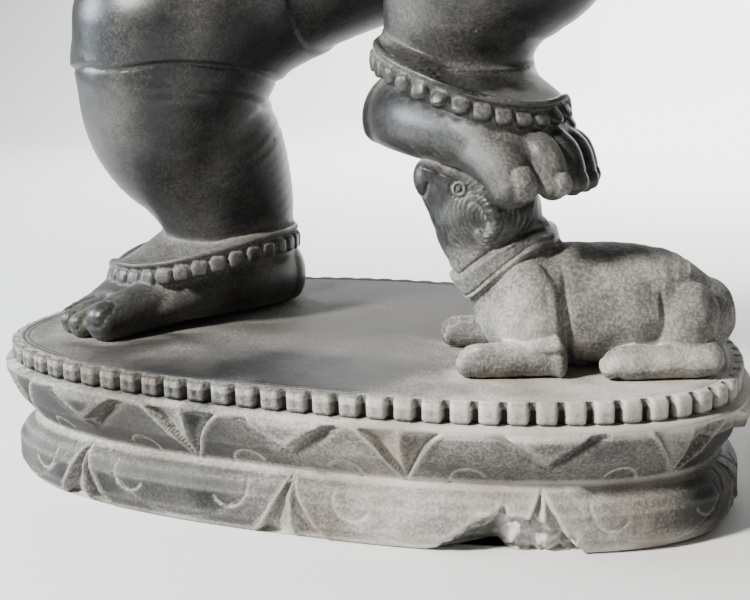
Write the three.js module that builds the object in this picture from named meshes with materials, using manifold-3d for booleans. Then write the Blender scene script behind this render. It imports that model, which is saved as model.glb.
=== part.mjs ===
// A dancing Ganesha carved from one block of dark stone, together with its oval lotus plinth and the
// mouse that carries the raised foot. Millimetres, +Z up, the viewer in front at -Y.
// The origin is the middle of the plinth's underside.
import * as THREE from "three";
import { mergeVertices } from "three/addons/utils/BufferGeometryUtils.js";
import Module from "manifold-3d";

const wasm = await Module();
wasm.setup();

// Driving dimensions of the plinth: a rounded oval, fuller behind than in front, with a double row of
// lotus petals.
const HALF_WIDTH = 494;
const HALF_DEPTH = 323;
const BELLY = -84; // how far the widest line lies before the middle
const SQUARENESS = [2.52, 2.23]; // exponents of the oval, left and right: 2 is an ellipse, more is squarer
const PLINTH_TOP = 185;
const WAIST = 77; // the groove between the two rows of petals
const BAND_TOP = 155; // where the upper petals end, under the rim
// The petals' levels: [height, how far they stand in from the outline].
const LEVELS = [[0, 16], [14, 7], [50, 7], [71, 26], [WAIST, 36], [94, 25], [126, 3], [BAND_TOP, -5]];
const PETALS = 9;
const PETAL_COLUMNS = 8;
const FIRST_NOTCH = 0.574; // where the first upper notch lies, in petals from the left end
const NOTCH_HALF = 0.17; // half the width of a notch between petals at its mouth, in petals
const NOTCH_DEPTH = 9;
// The rim's levels: [height, how far its beads stand in from the outline, how far the gaps between them do].
const RIM = [[149, 2, 9], [PLINTH_TOP, 4, 11]];
const RIM_BEADS = 81;
const FIRST_GAP = 0.36; // where the first gap between the beads lies, in beads from the left end

// Driving dimensions of the figure.
const MIDDLE = 35; // the figure's own middle, to the right of the plinth's
const STANDING_HEEL = new THREE.Vector3(-243, 108, PLINTH_TOP);
const STANDING_AIM = new THREE.Vector3(-0.474, -0.88, 0);
const RAISED_HEEL = new THREE.Vector3(76, -40, 441);
const RAISED_AIM = new THREE.Vector3(0.834, -0.542, -0.1);
const BEAD_PROUD = 10;
const STRAP_HALF = 16; // how far the anklet's strap reaches above and below the middle of its beads
// The anklets' string: its oval and its height, which droops towards the toes, humps at the sides and
// drops on the outer side of the foot.
const STANDING_ANKLET = {
  beads: 33, middle: 83, long: 133, wide: 124, height: 91, droop: 14, hump: 9, drop: 34, dropFrom: 0.15,
  dropTo: 0.85,
};
const RAISED_ANKLET = {
  beads: 30, middle: 88, long: 124, wide: 114, height: 101, droop: 24, hump: 5, drop: 55, dropFrom: 0.4,
  dropTo: 0.85,
};
// The crease between foot and shin, above which the instep doesn't rise.
const STANDING_CREASE = { middle: 40, beside: -2, round: 95, height: 112, droop: 0 };
const RAISED_CREASE = { middle: 44, beside: -12, round: 95, height: 113, droop: -2 };
// The soles and the toes, from the big one to the little one, in stations of their foot's own frame:
// along it, towards the inner side, above the sole, half width, half thickness.
const STANDING_SOLE = [[-70, 0, 50, 42, 42], [-36, 0, 54, 77, 54], [70, 0, 58, 95, 58], [160, -2, 44, 92, 44],
  [226, 0, 28, 78, 28]];
const STANDING_TOES = [
  [[185, 40, 34, 33], [286, 53, 23, 26]],
  [[195, 14, 30, 19], [300, 16, 15, 17]],
  [[195, -13, 30, 18], [296, -15, 14, 16]],
  [[190, -38, 30, 17], [280, -43, 13, 15]],
  [[180, -60, 30, 16], [256, -68, 12, 14]],
];
const RAISED_SOLE = [[-70, 0, 50, 46, 44], [-34, 0, 52, 80, 54], [70, 0, 57, 94, 57], [140, -2, 49, 90, 51],
  [180, -6, 36, 77, 42]];
const RAISED_TOES = [
  [[155, 48, 32, 32], [205, 52, 20, 31], [233, 52, -3, 27]],
  [[175, 5, 46, 19], [231, 1, 34, 19], [256, -2, -2, 17]],
  [[172, -26, 46, 18], [225, -30, 34, 18], [249, -32, -4, 16]],
  [[166, -52, 44, 17], [213, -56, 33, 17], [237, -59, -4, 15]],
  [[155, -73, 40, 16], [195, -79, 30, 16], [218, -81, -4, 14]],
];
const MOUSE = new THREE.Vector3(330, -75, PLINTH_TOP);
const MOUSE_AIM = new THREE.Vector3(-0.955, -0.297, 0);
const BLESSING_WRIST = [-221, -66, 945];
const BOWL = [229, -142, 940];
const AXE_WRIST = [-225, 100, 1175];
const LOTUS_WRIST = [295, 100, 1175];

const FRONT = new THREE.Vector3(0, -1, 0);
const UP = new THREE.Vector3(0, 0, 1);
const stone = new THREE.MeshStandardMaterial({ color: 0x4f5050, roughness: 0.72, metalness: 0 });

// A closed three.js geometry as a solid that can be joined and cut.
function solid(geometry) {
  const bare = geometry.clone();
  bare.deleteAttribute("normal");
  bare.deleteAttribute("uv");
  const merged = mergeVertices(bare, 1e-3);
  const vertProperties = new Float32Array(merged.attributes.position.array);
  const triVerts = new Uint32Array(merged.index.array);
  return new wasm.Manifold(new wasm.Mesh({ numProp: 3, vertProperties, triVerts }));
}

function join(solids) {
  return solids.reduce((whole, piece) => whole.add(piece));
}

// A closed skin over rows of points: each row is a ring, and each end is closed on its own middle.
function skin(rows) {
  const sides = rows[0].length;
  const points = rows.flat();
  const faces = [];
  rows.slice(1).forEach((_, row) => {
    for (let i = 0; i < sides; i++) {
      const next = (i + 1) % sides;
      const a = row * sides + i;
      const b = row * sides + next;
      faces.push(a, b, b + sides, a, b + sides, a + sides);
    }
  });
  [0, rows.length - 1].forEach((end) => {
    const middle = rows[end].reduce((sum, p) => sum.add(p), new THREE.Vector3()).divideScalar(sides);
    points.push(middle);
    const hub = points.length - 1;
    for (let i = 0; i < sides; i++) {
      const a = end * sides + i;
      const b = end * sides + ((i + 1) % sides);
      faces.push(...(end ? [hub, a, b] : [hub, b, a]));
    }
  });
  return new THREE.BufferGeometry().setFromPoints(points).setIndex(faces);
}

// How a limb ends: rings past its last station, as [share of the girth, how far out in half girths].
const TIPS = { flat: [], round: [[0.72, 0.6]], ball: [[0.9, 0.38], [0.6, 0.72]] };

// A limb: oval sections carried along a smooth curve through its stations. Its start is flat, hidden in
// what it grows from, and its tip is rounded unless it is flat too.
// Each station is [x, y, z, half width, half thickness]; the thickness lies towards `facing`.
function limb(stations, { sides = 8, rings = 3, facing = FRONT, tip = "round" } = {}) {
  const path = new THREE.CatmullRomCurve3(
    stations.map(([x, y, z]) => new THREE.Vector3(x, y, z)), false, "catmullrom");
  const girth = new THREE.CatmullRomCurve3(
    stations.map(([, , , wide, thick = wide]) => new THREE.Vector3(wide, thick, 0)), false, "catmullrom");
  const section = (t, shrink, push) => {
    const along = path.getTangent(t);
    const side = new THREE.Vector3().crossVectors(along, facing).normalize();
    const front = new THREE.Vector3().crossVectors(side, along);
    const half = girth.getPoint(t);
    const centre = path.getPoint(t).addScaledVector(along, push * Math.min(half.x, half.y));
    return Array.from({ length: sides }, (_, i) => {
      const turn = (2 * Math.PI * i) / sides;
      return centre.clone()
        .addScaledVector(side, -half.x * shrink * Math.cos(turn))
        .addScaledVector(front, half.y * shrink * Math.sin(turn));
    });
  };
  const rows = Array.from({ length: rings + 1 }, (_, i) => section(i / rings, 1, 0));
  TIPS[tip].forEach(([shrink, push]) => rows.push(section(1, shrink, push)));
  const made = solid(skin(rows));
  return made.volume() > 0 ? made : solid(skin(rows.map((row) => row.slice().reverse())));
}

// An egg: a sphere stretched to three half sizes, turned, and set in place.
function egg([x, y, z], [a, b, c], { turn = [0, 0, 0], wide = 8, high = 6 } = {}) {
  const shape = new THREE.SphereGeometry(1, wide, high).scale(a, b, c);
  shape.applyMatrix4(new THREE.Matrix4().makeRotationFromEuler(new THREE.Euler(...turn)));
  return solid(shape.translate(x, y, z));
}

// A turned profile, [radius, height] from the foot to the top, about an axis through `at` along `axis`.
function turned(profile, at, axis = UP, sides = 10) {
  const shape = new THREE.LatheGeometry(profile.map(([r, h]) => new THREE.Vector2(r, h)), sides);
  const upright = new THREE.Vector3(0, 1, 0);
  const stand = new THREE.Quaternion().setFromUnitVectors(upright, axis.clone().normalize());
  return solid(shape.applyQuaternion(stand).translate(...at));
}

// The plinth's outline, walked by length from its left end along the front: place and outward direction.
function walkOutline() {
  const steps = 1440;
  const squared = (value, exponent) => Math.sign(value) * Math.abs(value) ** (2 / exponent);
  const point = (turn) => {
    const exponent = SQUARENESS[Math.cos(turn) > 0 ? 0 : 1];
    const depth = Math.sin(turn) > 0 ? HALF_DEPTH + BELLY : HALF_DEPTH - BELLY;
    return new THREE.Vector2(
      -HALF_WIDTH * squared(Math.cos(turn), exponent), BELLY - depth * squared(Math.sin(turn), exponent));
  };
  const points = Array.from({ length: steps + 1 }, (_, i) => point((2 * Math.PI * i) / steps));
  const walked = [0];
  for (let i = 1; i <= steps; i++) walked.push(walked[i - 1] + points[i].distanceTo(points[i - 1]));
  return (share) => {
    const wanted = (((share % 1) + 1) % 1) * walked[steps];
    const i = Math.max(1, walked.findIndex((length) => length >= wanted));
    const part = (wanted - walked[i - 1]) / (walked[i] - walked[i - 1]);
    const place = points[i - 1].clone().lerp(points[i], part);
    const ahead = points[i].clone().sub(points[i - 1]).normalize();
    return { place, outward: new THREE.Vector2(ahead.y, -ahead.x) };
  };
}

// How far a notch cuts in: full in the V between two petals, nothing on the petal itself.
function notch(petal, opening) {
  const fromNotch = Math.abs(petal - Math.round(petal));
  return fromNotch < NOTCH_HALF * opening + 0.01 ? NOTCH_DEPTH * Math.min(1, 0.35 + opening) : 0;
}

// The plinth: two rows of petals whose tips meet at the waist, each row's notches over the other's petals,
// and above them a slab whose edge is carved into beads, one column on each bead and one in each gap.
function plinth(outline) {
  const spot = (share, inset, height) => {
    const { place, outward } = outline(share);
    const { x, y } = place.clone().addScaledVector(outward, -inset);
    return new THREE.Vector3(x, y, height);
  };
  const petals = LEVELS.map(([height, inset]) => Array.from({ length: PETALS * PETAL_COLUMNS }, (_, i) => {
    const upper = height > WAIST;
    const petal = i / PETAL_COLUMNS + (upper ? 0 : 0.5);
    const opening = upper ? (height - WAIST) / (BAND_TOP - WAIST) : 1 - height / WAIST;
    const carved = height !== WAIST && height > 0 ? notch(petal, opening) : 0;
    return spot((i / PETAL_COLUMNS + FIRST_NOTCH) / PETALS, inset + carved, height);
  }));
  const rim = RIM.map(([height, bead, gap]) => Array.from({ length: 2 * RIM_BEADS }, (_, i) =>
    spot((i / 2 + FIRST_GAP) / RIM_BEADS, i % 2 ? bead : gap, height)));
  return join([solid(skin(petals)), solid(skin(rim))]);
}

// Places things on a foot: along it from the heel, towards the big toe's side, and above the sole.
function footFrame(heel, aim, mirrored) {
  const along = aim.clone().normalize();
  const inner = new THREE.Vector3(-along.y, along.x, 0).normalize().multiplyScalar(mirrored ? -1 : 1);
  const above = new THREE.Vector3().crossVectors(along, inner).normalize();
  if (above.z < 0) above.negate();
  return (u, v, w) => heel.clone()
    .addScaledVector(along, u).addScaledVector(inner, v).addScaledVector(above, w);
}

function foot(at, sole, toes) {
  const onFoot = (stations) => stations.map(([u, v, w, ...half]) => [...at(u, v, w).toArray(), ...half]);
  return [
    limb(onFoot(sole), { facing: UP, sides: 10, rings: 4, tip: "flat" }),
    ...toes.map((toe) => limb(onFoot(toe), { facing: UP, sides: 5, rings: toe.length - 1 })),
  ];
}

// The instep with its anklet: it flares from the crease of the ankle down to a slack strap over heel and
// foot, hung with beads that stand out one after another.
function anklet(at, { beads, middle, long, wide, height, droop, hump, drop, dropFrom, dropTo }, crease) {
  const turns = Array.from({ length: 2 * beads }, (_, i) => (Math.PI * i) / beads);
  const level = (turn) => height - hump * Math.cos(2 * turn) - droop * Math.cos(turn)
    - drop * THREE.MathUtils.smoothstep(-Math.sin(turn), dropFrom, dropTo);
  const strap = (rise, out) => turns.map((turn, i) => at(
    middle + (long + out[i % 2]) * Math.cos(turn), (wide + out[i % 2]) * Math.sin(turn), level(turn) + rise));
  const ankle = turns.map((turn) => at(
    crease.middle + crease.round * Math.cos(turn), crease.beside + crease.round * Math.sin(turn),
    Math.max(crease.height - crease.droop * Math.cos(turn), level(turn) + STRAP_HALF + 6)));
  const rows = [ankle, strap(STRAP_HALF, [0, 0]), strap(0, [1, BEAD_PROUD]), strap(-STRAP_HALF, [0, 0])];
  const made = solid(skin(rows));
  return made.volume() > 0 ? made : solid(skin(rows.reverse()));
}

function standingLeg() {
  const at = footFrame(STANDING_HEEL, STANDING_AIM, false);
  const shin = limb([
    [-263, 82, 265, 92], [-263, 80, 300, 92], [-260, 60, 345, 100], [-271, 40, 396, 113],
    [-293, 18, 447, 126], [-300, 2, 487, 131], [-291, -18, 540, 130],
  ], { sides: 12, rings: 5, tip: "flat" });
  const thigh = limb([
    [MIDDLE, 90, 752, 142], [-90, 80, 712, 140], [-200, 36, 655, 134], [-256, -2, 606, 131],
  ], { sides: 12, rings: 3, tip: "ball" });
  const knee = limb([[-291, -16, 527, 136], [-288, -18, 576, 133]], { sides: 12, rings: 1, tip: "ball" });
  const ankle = anklet(at, STANDING_ANKLET, STANDING_CREASE);
  return [...foot(at, STANDING_SOLE, STANDING_TOES), ankle, shin, thigh, knee];
}

function raisedLeg() {
  const at = footFrame(RAISED_HEEL, RAISED_AIM, true);
  const shin = limb([
    [130, -50, 495, 96], [126, -50, 546, 93], [124, -51, 587, 96], [139, -55, 625, 108],
    [181, -62, 690, 131], [206, -70, 735, 132],
  ], { sides: 12, rings: 4, tip: "flat" });
  const thigh = limb([[MIDDLE + 35, 60, 770, 140], [150, -10, 788, 135], [208, -58, 780, 130]],
    { sides: 12, rings: 3, tip: "ball" });
  const knee = limb([[198, -66, 714, 141], [214, -72, 760, 134]], { sides: 12, rings: 1, tip: "ball" });
  const ankle = anklet(at, RAISED_ANKLET, RAISED_CREASE);
  return [...foot(at, RAISED_SOLE, RAISED_TOES), ankle, shin, thigh, knee];
}

// The mouse: lying with its legs folded, its head thrown back under the raised foot.
function mouse() {
  const near = new THREE.Vector3(MOUSE_AIM.y, -MOUSE_AIM.x, 0).negate();
  // Forward from its middle, towards its near side, and above the plinth.
  const at = (u, v, w) => MOUSE.clone().addScaledVector(MOUSE_AIM, u).addScaledVector(near, v)
    .add(new THREE.Vector3(0, 0, w)).toArray();
  const body = limb([
    [...at(108, 0, 76), 64, 66], [...at(40, 0, 76), 76, 74], [...at(-50, 0, 72), 76, 72],
    [...at(-108, 0, 60), 55, 51],
  ], { facing: UP, sides: 10, rings: 3 });
  const chest = egg(at(114, 0, 72), [48, 59, 65], { high: 4 });
  const neck = limb([[...at(106, 0, 84), 61], [...at(142, 0, 124), 60], [...at(164, 4, 186), 53]],
    { sides: 8, rings: 2, tip: "flat" });
  const head = limb([
    [...at(142, 4, 186), 55, 53], [...at(180, 4, 210), 50, 46], [...at(214, 4, 234), 32, 29],
  ], { rings: 2 });
  const crown = egg(at(136, 2, 194), [51, 45, 45], { high: 4 });
  const collar = turned([[0, -12], [61, -12], [67, 2], [0, 12]], at(130, 0, 140),
    new THREE.Vector3(-0.56, -0.05, 0.83), 8);
  const nape = egg(at(92, 0, 150), [28, 41, 33], { high: 4 });
  const ears = [-1, 1].map((side) => egg(at(146, 4 + side * 52, 186), [16, 10, 28],
    { turn: [0, 0.3, side * 0.2], wide: 6, high: 4 }));
  const foreleg = (side, reach) => [
    egg(at(104, side * 52, 76), [45, 32, 62], { turn: [0, -0.2, 0], high: 4 }),
    limb([
      [...at(66, side * 62, 21), 27], [...at(125, side * 70, 21), 24], [...at(178 + reach, side * 74, 15), 20],
    ], { facing: UP, sides: 5, rings: 2 }),
  ];
  const hindleg = (side) => [
    egg(at(-87, side * 53, 60), [37, 36, 55], { turn: [0, 0.25, 0], high: 4 }),
    limb([[...at(-110, side * 68, 22), 27], [...at(-50, side * 76, 20), 24], [...at(8, side * 81, 14), 20]],
      { facing: UP, sides: 5, rings: 2 }),
  ];
  const tail = limb([
    [...at(-104, -34, 34), 16], [...at(-132, -92, 10), 14], [...at(-80, -128, 6), 11], [...at(0, -136, 5), 9],
    [...at(60, -112, 4), 7],
  ], { facing: UP, sides: 4, rings: 5, tip: "flat" });
  return [body, chest, neck, head, crown, collar, nape, ...ears, ...foreleg(1, 0), ...foreleg(-1, 20),
    ...hindleg(1), ...hindleg(-1), tail];
}

function torso() {
  const trunk = limb([
    [MIDDLE + 4, 88, 690, 110, 85], [MIDDLE + 4, 76, 775, 168, 140], [MIDDLE + 4, 50, 860, 174, 166],
    [MIDDLE + 2, 56, 935, 156, 146], [MIDDLE, 76, 1005, 148, 108], [MIDDLE, 80, 1065, 112, 82],
    [MIDDLE, 64, 1120, 74, 70]], { sides: 12, rings: 6, tip: "flat" });
  const girdle = limb([[MIDDLE + 2, 80, 752, 172, 140], [MIDDLE + 2, 76, 784, 178, 148]],
    { sides: 12, rings: 1, tip: "flat" });
  const necklace = turned([[0, -12], [126, -6], [122, 12], [0, 12]], [MIDDLE, 54, 1062],
    new THREE.Vector3(0, -0.42, 0.9), 12);
  return [trunk, girdle, necklace];
}

// One arm from the shoulder over the elbow to the wrist.
function arm(shoulder, elbow, wrist, thick = 50) {
  const lower = new THREE.Vector3(...wrist).sub(new THREE.Vector3(...elbow)).normalize();
  return [
    limb([[...shoulder, thick * 1.15], [...elbow, thick * 0.88]], { sides: 6, rings: 1 }),
    limb([[...elbow, thick * 0.88], [...wrist, thick * 0.58]],
      { sides: 6, rings: 1, tip: "flat", facing: Math.abs(lower.y) > 0.8 ? UP : FRONT }),
  ];
}

// Four fingers side by side from their knuckles to their tips.
function fingers(knuckle, tip, spread, thick = 12) {
  return [-1.5, -0.5, 0.5, 1.5].map((n) => {
    const shift = (p) => p.map((value, i) => value + spread[i] * n);
    return limb([[...shift(knuckle), thick], [...shift(tip), thick * 0.8]],
      { sides: 4, rings: 1, tip: "flat", facing: new THREE.Vector3(0.3, -0.8, 0.5) });
  });
}

function arms() {
  const blessing = [
    ...arm([-89, 76, 1030], [-225, 50, 905], BLESSING_WRIST),
    egg([-219, -74, 985], [40, 17, 44], { high: 4 }),
    ...fingers([-219, -76, 1006], [-219, -82, 1068], [19, 0, 0]),
    limb([[-193, -76, 975, 13], [-173, -84, 1030, 10]], { sides: 4, rings: 1, tip: "flat" }),
  ];
  const giving = [
    ...arm([159, 76, 1030], [297, 44, 905], [265, -100, 905]),
    egg([235, -136, 912], [46, 44, 18], { high: 4 }),
    turned([[0, -30], [28, -30], [54, 2], [58, 22], [45, 24], [34, 44], [0, 56]], BOWL),
  ];
  const axe = [
    ...arm([-77, 106, 1040], [-199, 122, 1030], AXE_WRIST, 44),
    egg([-229, 90, 1192], [32, 32, 34], { wide: 6, high: 4 }),
    limb([[-225, 70, 1120, 9], [-237, 78, 1330, 9]], { sides: 5, rings: 1, tip: "flat" }),
    limb([[-239, 78, 1300, 30, 12], [-295, 78, 1308, 50, 5]], { sides: 6, rings: 1, tip: "flat" }),
  ];
  const lotus = [
    ...arm([147, 106, 1040], [269, 122, 1030], LOTUS_WRIST, 44),
    egg([297, 90, 1192], [32, 32, 34], { wide: 6, high: 4 }),
    turned([[0, -40], [12, -30], [14, 0], [42, 34], [38, 62], [0, 96]], [301, 86, 1245], UP, 8),
  ];
  return [...blessing, ...giving, ...axe, ...lotus];
}

function head() {
  const skull = egg([MIDDLE, 50, 1190], [112, 116, 108], { wide: 10, high: 7 });
  const domes = [-1, 1].map((side) => egg([MIDDLE + side * 42, 14, 1238], [62, 72, 56], { high: 5 }));
  const cheeks = [-1, 1].map((side) => egg([MIDDLE + side * 56, -18, 1142], [50, 56, 56], { high: 5 }));
  const nose = limb([
    [MIDDLE, -28, 1212, 66], [MIDDLE, -88, 1140, 60], [MIDDLE + 2, -130, 1060, 50],
    [MIDDLE + 26, -160, 985, 41], [MIDDLE + 88, -176, 945, 34], [MIDDLE + 146, -176, 966, 29],
    [MIDDLE + 170, -166, 1000, 24],
  ], { sides: 8, rings: 7, facing: new THREE.Vector3(1, 0, 0) });
  const ears = [-1, 1].map((side) => limb([
    [MIDDLE + side * 92, 36, 1170, 24, 78], [MIDDLE + side * 138, 54, 1162, 15, 108],
    [MIDDLE + side * 192, 82, 1150, 11, 84]], { facing: UP, sides: 8, rings: 3 }));
  const tusks = [[-1, 56], [1, 24]].map(([side, reach]) => limb([
    [MIDDLE + side * 48, -48, 1124, 17], [MIDDLE + side * 62, -80 - reach * 0.7, 1100 - reach * 0.2, 10]],
    { sides: 6, rings: 1, tip: "flat" }));
  const crown = turned([
    [0, 0], [100, 0], [104, 26], [84, 40], [88, 58], [66, 76], [68, 94], [48, 110], [50, 126], [28, 142],
    [30, 158], [0, 186],
  ], [MIDDLE, 54, 1256], new THREE.Vector3(0, 0.06, 1), 9);
  return [skull, ...domes, ...cheeks, nose, ...ears, ...tusks, crown];
}

function statue() {
  const sunk = PLINTH_TOP - 40; // what stands on the plinth reaches this deep into it
  const below = solid(new THREE.BoxGeometry(3 * HALF_WIDTH, 3 * HALF_DEPTH, 300).translate(0, 0, sunk - 150));
  const onPlinth = join([...standingLeg(), ...mouse()]).subtract(below);
  const whole = join([plinth(walkOutline()), onPlinth, ...raisedLeg(), ...torso(), ...arms(), ...head()]);
  const made = whole.getMesh();
  const geometry = new THREE.BufferGeometry()
    .setAttribute("position", new THREE.BufferAttribute(made.vertProperties, 3))
    .setIndex(new THREE.BufferAttribute(made.triVerts, 1));
  geometry.computeVertexNormals();
  const mesh = new THREE.Mesh(geometry, stone);
  mesh.name = "statue";
  return mesh;
}

const part = new THREE.Group();
part.add(statue());

export default part;
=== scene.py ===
import math

import bpy
import numpy as np
from mathutils import Matrix, Vector


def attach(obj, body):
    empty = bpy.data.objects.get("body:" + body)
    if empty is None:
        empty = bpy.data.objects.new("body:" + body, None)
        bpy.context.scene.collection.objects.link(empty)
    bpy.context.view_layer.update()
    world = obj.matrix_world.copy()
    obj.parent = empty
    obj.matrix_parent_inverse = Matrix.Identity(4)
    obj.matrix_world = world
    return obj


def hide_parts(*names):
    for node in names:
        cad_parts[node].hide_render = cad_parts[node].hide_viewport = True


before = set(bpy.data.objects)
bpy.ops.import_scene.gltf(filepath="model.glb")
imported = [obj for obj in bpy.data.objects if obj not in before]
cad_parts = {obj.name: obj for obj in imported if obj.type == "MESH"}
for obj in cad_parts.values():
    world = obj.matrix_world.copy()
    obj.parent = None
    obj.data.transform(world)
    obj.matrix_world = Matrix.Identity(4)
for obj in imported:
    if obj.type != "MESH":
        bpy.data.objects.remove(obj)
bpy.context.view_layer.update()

# The camera
# It stands about as high as the raised knee, to the right of the middle, and looks down on the legs:
# the rest of the statue is above the picture.

CAMERA_PLACE = Vector((0.686, -1.837, 0.669))
AZIMUTH = math.radians(20.703)
ELEVATION = math.radians(12.765)
ROLL = math.radians(0.877)

towards = Vector((
    math.sin(AZIMUTH) * math.cos(ELEVATION),
    -math.cos(AZIMUTH) * math.cos(ELEVATION),
    math.sin(ELEVATION),
))
level = Vector((math.cos(AZIMUTH), math.sin(AZIMUTH), 0))
upward = towards.cross(level)
rolled_right = level * math.cos(ROLL) - upward * math.sin(ROLL)
rolled_up = level * math.sin(ROLL) + upward * math.cos(ROLL)
lens = bpy.data.cameras.new("camera")
lens.sensor_width = 36
lens.lens = 71.08
lens.clip_end = 100
camera = bpy.data.objects.new("camera", lens)
bpy.context.scene.collection.objects.link(camera)
turned = Matrix((rolled_right, rolled_up, towards)).transposed().to_4x4()
camera.matrix_world = Matrix.Translation(CAMERA_PLACE) @ turned
bpy.context.scene.camera = camera

# The floor
# A plain pale sheet that runs back from the plinth and curves up behind it.

FLOOR_HALF = 14
SWEEP_START = 3
SWEEP_RADIUS = 3
BACK_HEIGHT = 6
FLOOR_COLUMNS = 9
FLOOR_ROWS = 161


def floor_sheet(across, along):
    """A flat sheet that turns up in a quarter circle behind the sweep's start, then rises straight.
    across and along run from 0 to 1; along walks the sheet's section from its front edge."""
    walked = -FLOOR_HALF + along * (FLOOR_HALF + SWEEP_START + SWEEP_RADIUS * math.pi / 2 + BACK_HEIGHT)
    turn = np.clip((walked - SWEEP_START) / SWEEP_RADIUS, 0, math.pi / 2)
    rise = np.maximum(walked - SWEEP_START - SWEEP_RADIUS * math.pi / 2, 0)
    back = np.minimum(walked, SWEEP_START) + SWEEP_RADIUS * np.sin(turn)
    height = SWEEP_RADIUS * (1 - np.cos(turn)) + rise
    return np.stack([(across - 0.5) * 2 * FLOOR_HALF, back, height], -1)


def grid_faces(rows, columns):
    """The four-sided faces between neighbouring points of a grid, row by row."""
    corner = np.arange((rows - 1) * columns).reshape(rows - 1, columns)[:, :-1].ravel()
    return np.stack([corner, corner + 1, corner + columns + 1, corner + columns], -1)


across, along = np.meshgrid(np.linspace(0, 1, FLOOR_COLUMNS), np.linspace(0, 1, FLOOR_ROWS))
sheet = bpy.data.meshes.new("floor")
points = floor_sheet(across, along).reshape(-1, 3)
sheet.from_pydata(points, [], grid_faces(FLOOR_ROWS, FLOOR_COLUMNS).tolist())
sheet.polygons.foreach_set("use_smooth", np.ones(len(sheet.polygons), bool))
floor = bpy.data.objects.new("floor", sheet)
bpy.context.scene.collection.objects.link(floor)
paint = bpy.data.materials.new("floor_paint")
paint.use_nodes = True
matt = paint.node_tree.nodes["Principled BSDF"]
matt.inputs["Base Color"].default_value = (0.72, 0.72, 0.71, 1)
matt.inputs["Roughness"].default_value = 0.9
sheet.materials.append(paint)

# The light
# Soft lamps: a large one to the left that gives the stone its long sheen, a smaller and stronger one
# high at the front, one that lights only the sweep of the floor, a weak one behind, and a pale sky.


def lamp(name, place, aim, size, watts, colour):
    """A square lamp of the given size, turned from its place towards what it lights and not seen itself."""
    light = bpy.data.lights.new(name, "AREA")
    light.size = size
    light.energy = watts
    light.color = colour
    holder = bpy.data.objects.new(name, light)
    bpy.context.scene.collection.objects.link(holder)
    holder.location = place
    holder.visible_camera = False
    holder.rotation_euler = (Vector(aim) - Vector(place)).to_track_quat("-Z", "Y").to_euler()


lamp("left_lamp", (-3.2, -0.7, 1.3), (-0.2, 0, 0.4), 1.1, 205, (0.78, 0.89, 1.0))
lamp("front_lamp", (-1.8, -2.6, 2.6), (0.2, -0.1, 0.1), 0.55, 475, (1.0, 0.98, 0.94))
lamp("back_lamp", (0.3, 3.0, 3.0), (0.3, 5.5, 0.6), 3, 600, (1.0, 1.0, 1.0))
lamp("rear_lamp", (-1.3, 3.4, 1.5), (0, 0, 0.7), 2.0, 45, (1.0, 1.0, 1.0))
world = bpy.data.worlds.new("studio")
world.use_nodes = True
sky = world.node_tree.nodes["Background"]
sky.inputs["Color"].default_value = (0.93, 0.96, 1.0, 1)
sky.inputs["Strength"].default_value = 0.11
bpy.context.scene.world = world

# The plinth
# An oval lotus plinth, carved from the block: two rows of broad petals whose tips meet at the waist,
# with a narrow leaf in each notch, and a rim of cushion beads round the flat top.

HALF_WIDTH = 0.494
HALF_DEPTH = 0.323
BELLY = -0.084
SQUARENESS = (2.52, 2.23)
PLINTH_TOP = 0.185
WAIST = 0.077
BAND_TOP = 0.155
LEVELS = np.array([
    (0, 0.019), (0.006, 0.013), (0.02, 0.006), (0.05, 0.0065), (0.064, 0.016), (0.072, 0.028),
    (WAIST, 0.037), (0.082, 0.033), (0.094, 0.024), (0.11, 0.011), (0.126, 0.003), (0.143, -0.004),
    (BAND_TOP, -0.006),
])
RIM_BEADS = 81
FIRST_GAP = 0.36
BEAD_HALF = 0.0128
BEAD_DEPTH = 0.0125
BEAD_FOOT = 0.1585
UPPER_REACH = 0.062
LOWER_REACH = 0.054
LINE_WIDTH = 0.0016
FRONT_COLUMNS = 600
BACK_COLUMNS = 260
SIDE_ROWS = 66
RIM_ROWS = 17


def walk_table(steps=2880):
    """The oval's outline from its left end along the front: walked length, place and outward direction.
    Each quarter is a superellipse; the front is shallower than the back and the left end squarer."""
    turn = np.linspace(0, 2 * np.pi, steps + 1)
    power = 2 / np.where(np.cos(turn) > 0, *SQUARENESS)
    depth = np.where(np.sin(turn) > 0, HALF_DEPTH + BELLY, HALF_DEPTH - BELLY)
    x = -HALF_WIDTH * np.sign(np.cos(turn)) * np.abs(np.cos(turn)) ** power
    y = BELLY - depth * np.sign(np.sin(turn)) * np.abs(np.sin(turn)) ** power
    walked = np.concatenate([[0], np.cumsum(np.hypot(np.diff(x), np.diff(y)))])
    even = np.linspace(0, walked[-1], steps + 1)
    x, y = np.interp(even, walked, x), np.interp(even, walked, y)
    ahead = np.stack([np.gradient(x), np.gradient(y)], -1)
    ahead[[0, -1]] = (0, -1)
    ahead /= np.linalg.norm(ahead, axis=1, keepdims=True)
    return even, np.stack([x, y], -1), np.stack([ahead[:, 1], -ahead[:, 0]], -1)


WALKED, PLACES, OUTWARD = walk_table()
ROUND = WALKED[-1]
UPPER_NOTCHES = np.array([0.171, 0.474, 0.752, 1.093, 1.363, 1.661, 1.958, 2.256, 2.554])
LOWER_NOTCHES = np.array([0.022, 0.304, 0.611, 0.919, 1.214, 1.512, 1.810, 2.107, 2.405])


def outline(length, inset):
    """The point that lies inset inside the outline, square to it, after that walked length."""
    length = np.mod(length, ROUND)
    place = np.stack([np.interp(length, WALKED, PLACES[:, n]) for n in (0, 1)], -1)
    out = np.stack([np.interp(length, WALKED, OUTWARD[:, n]) for n in (0, 1)], -1)
    return place - out * inset[..., None]


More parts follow.
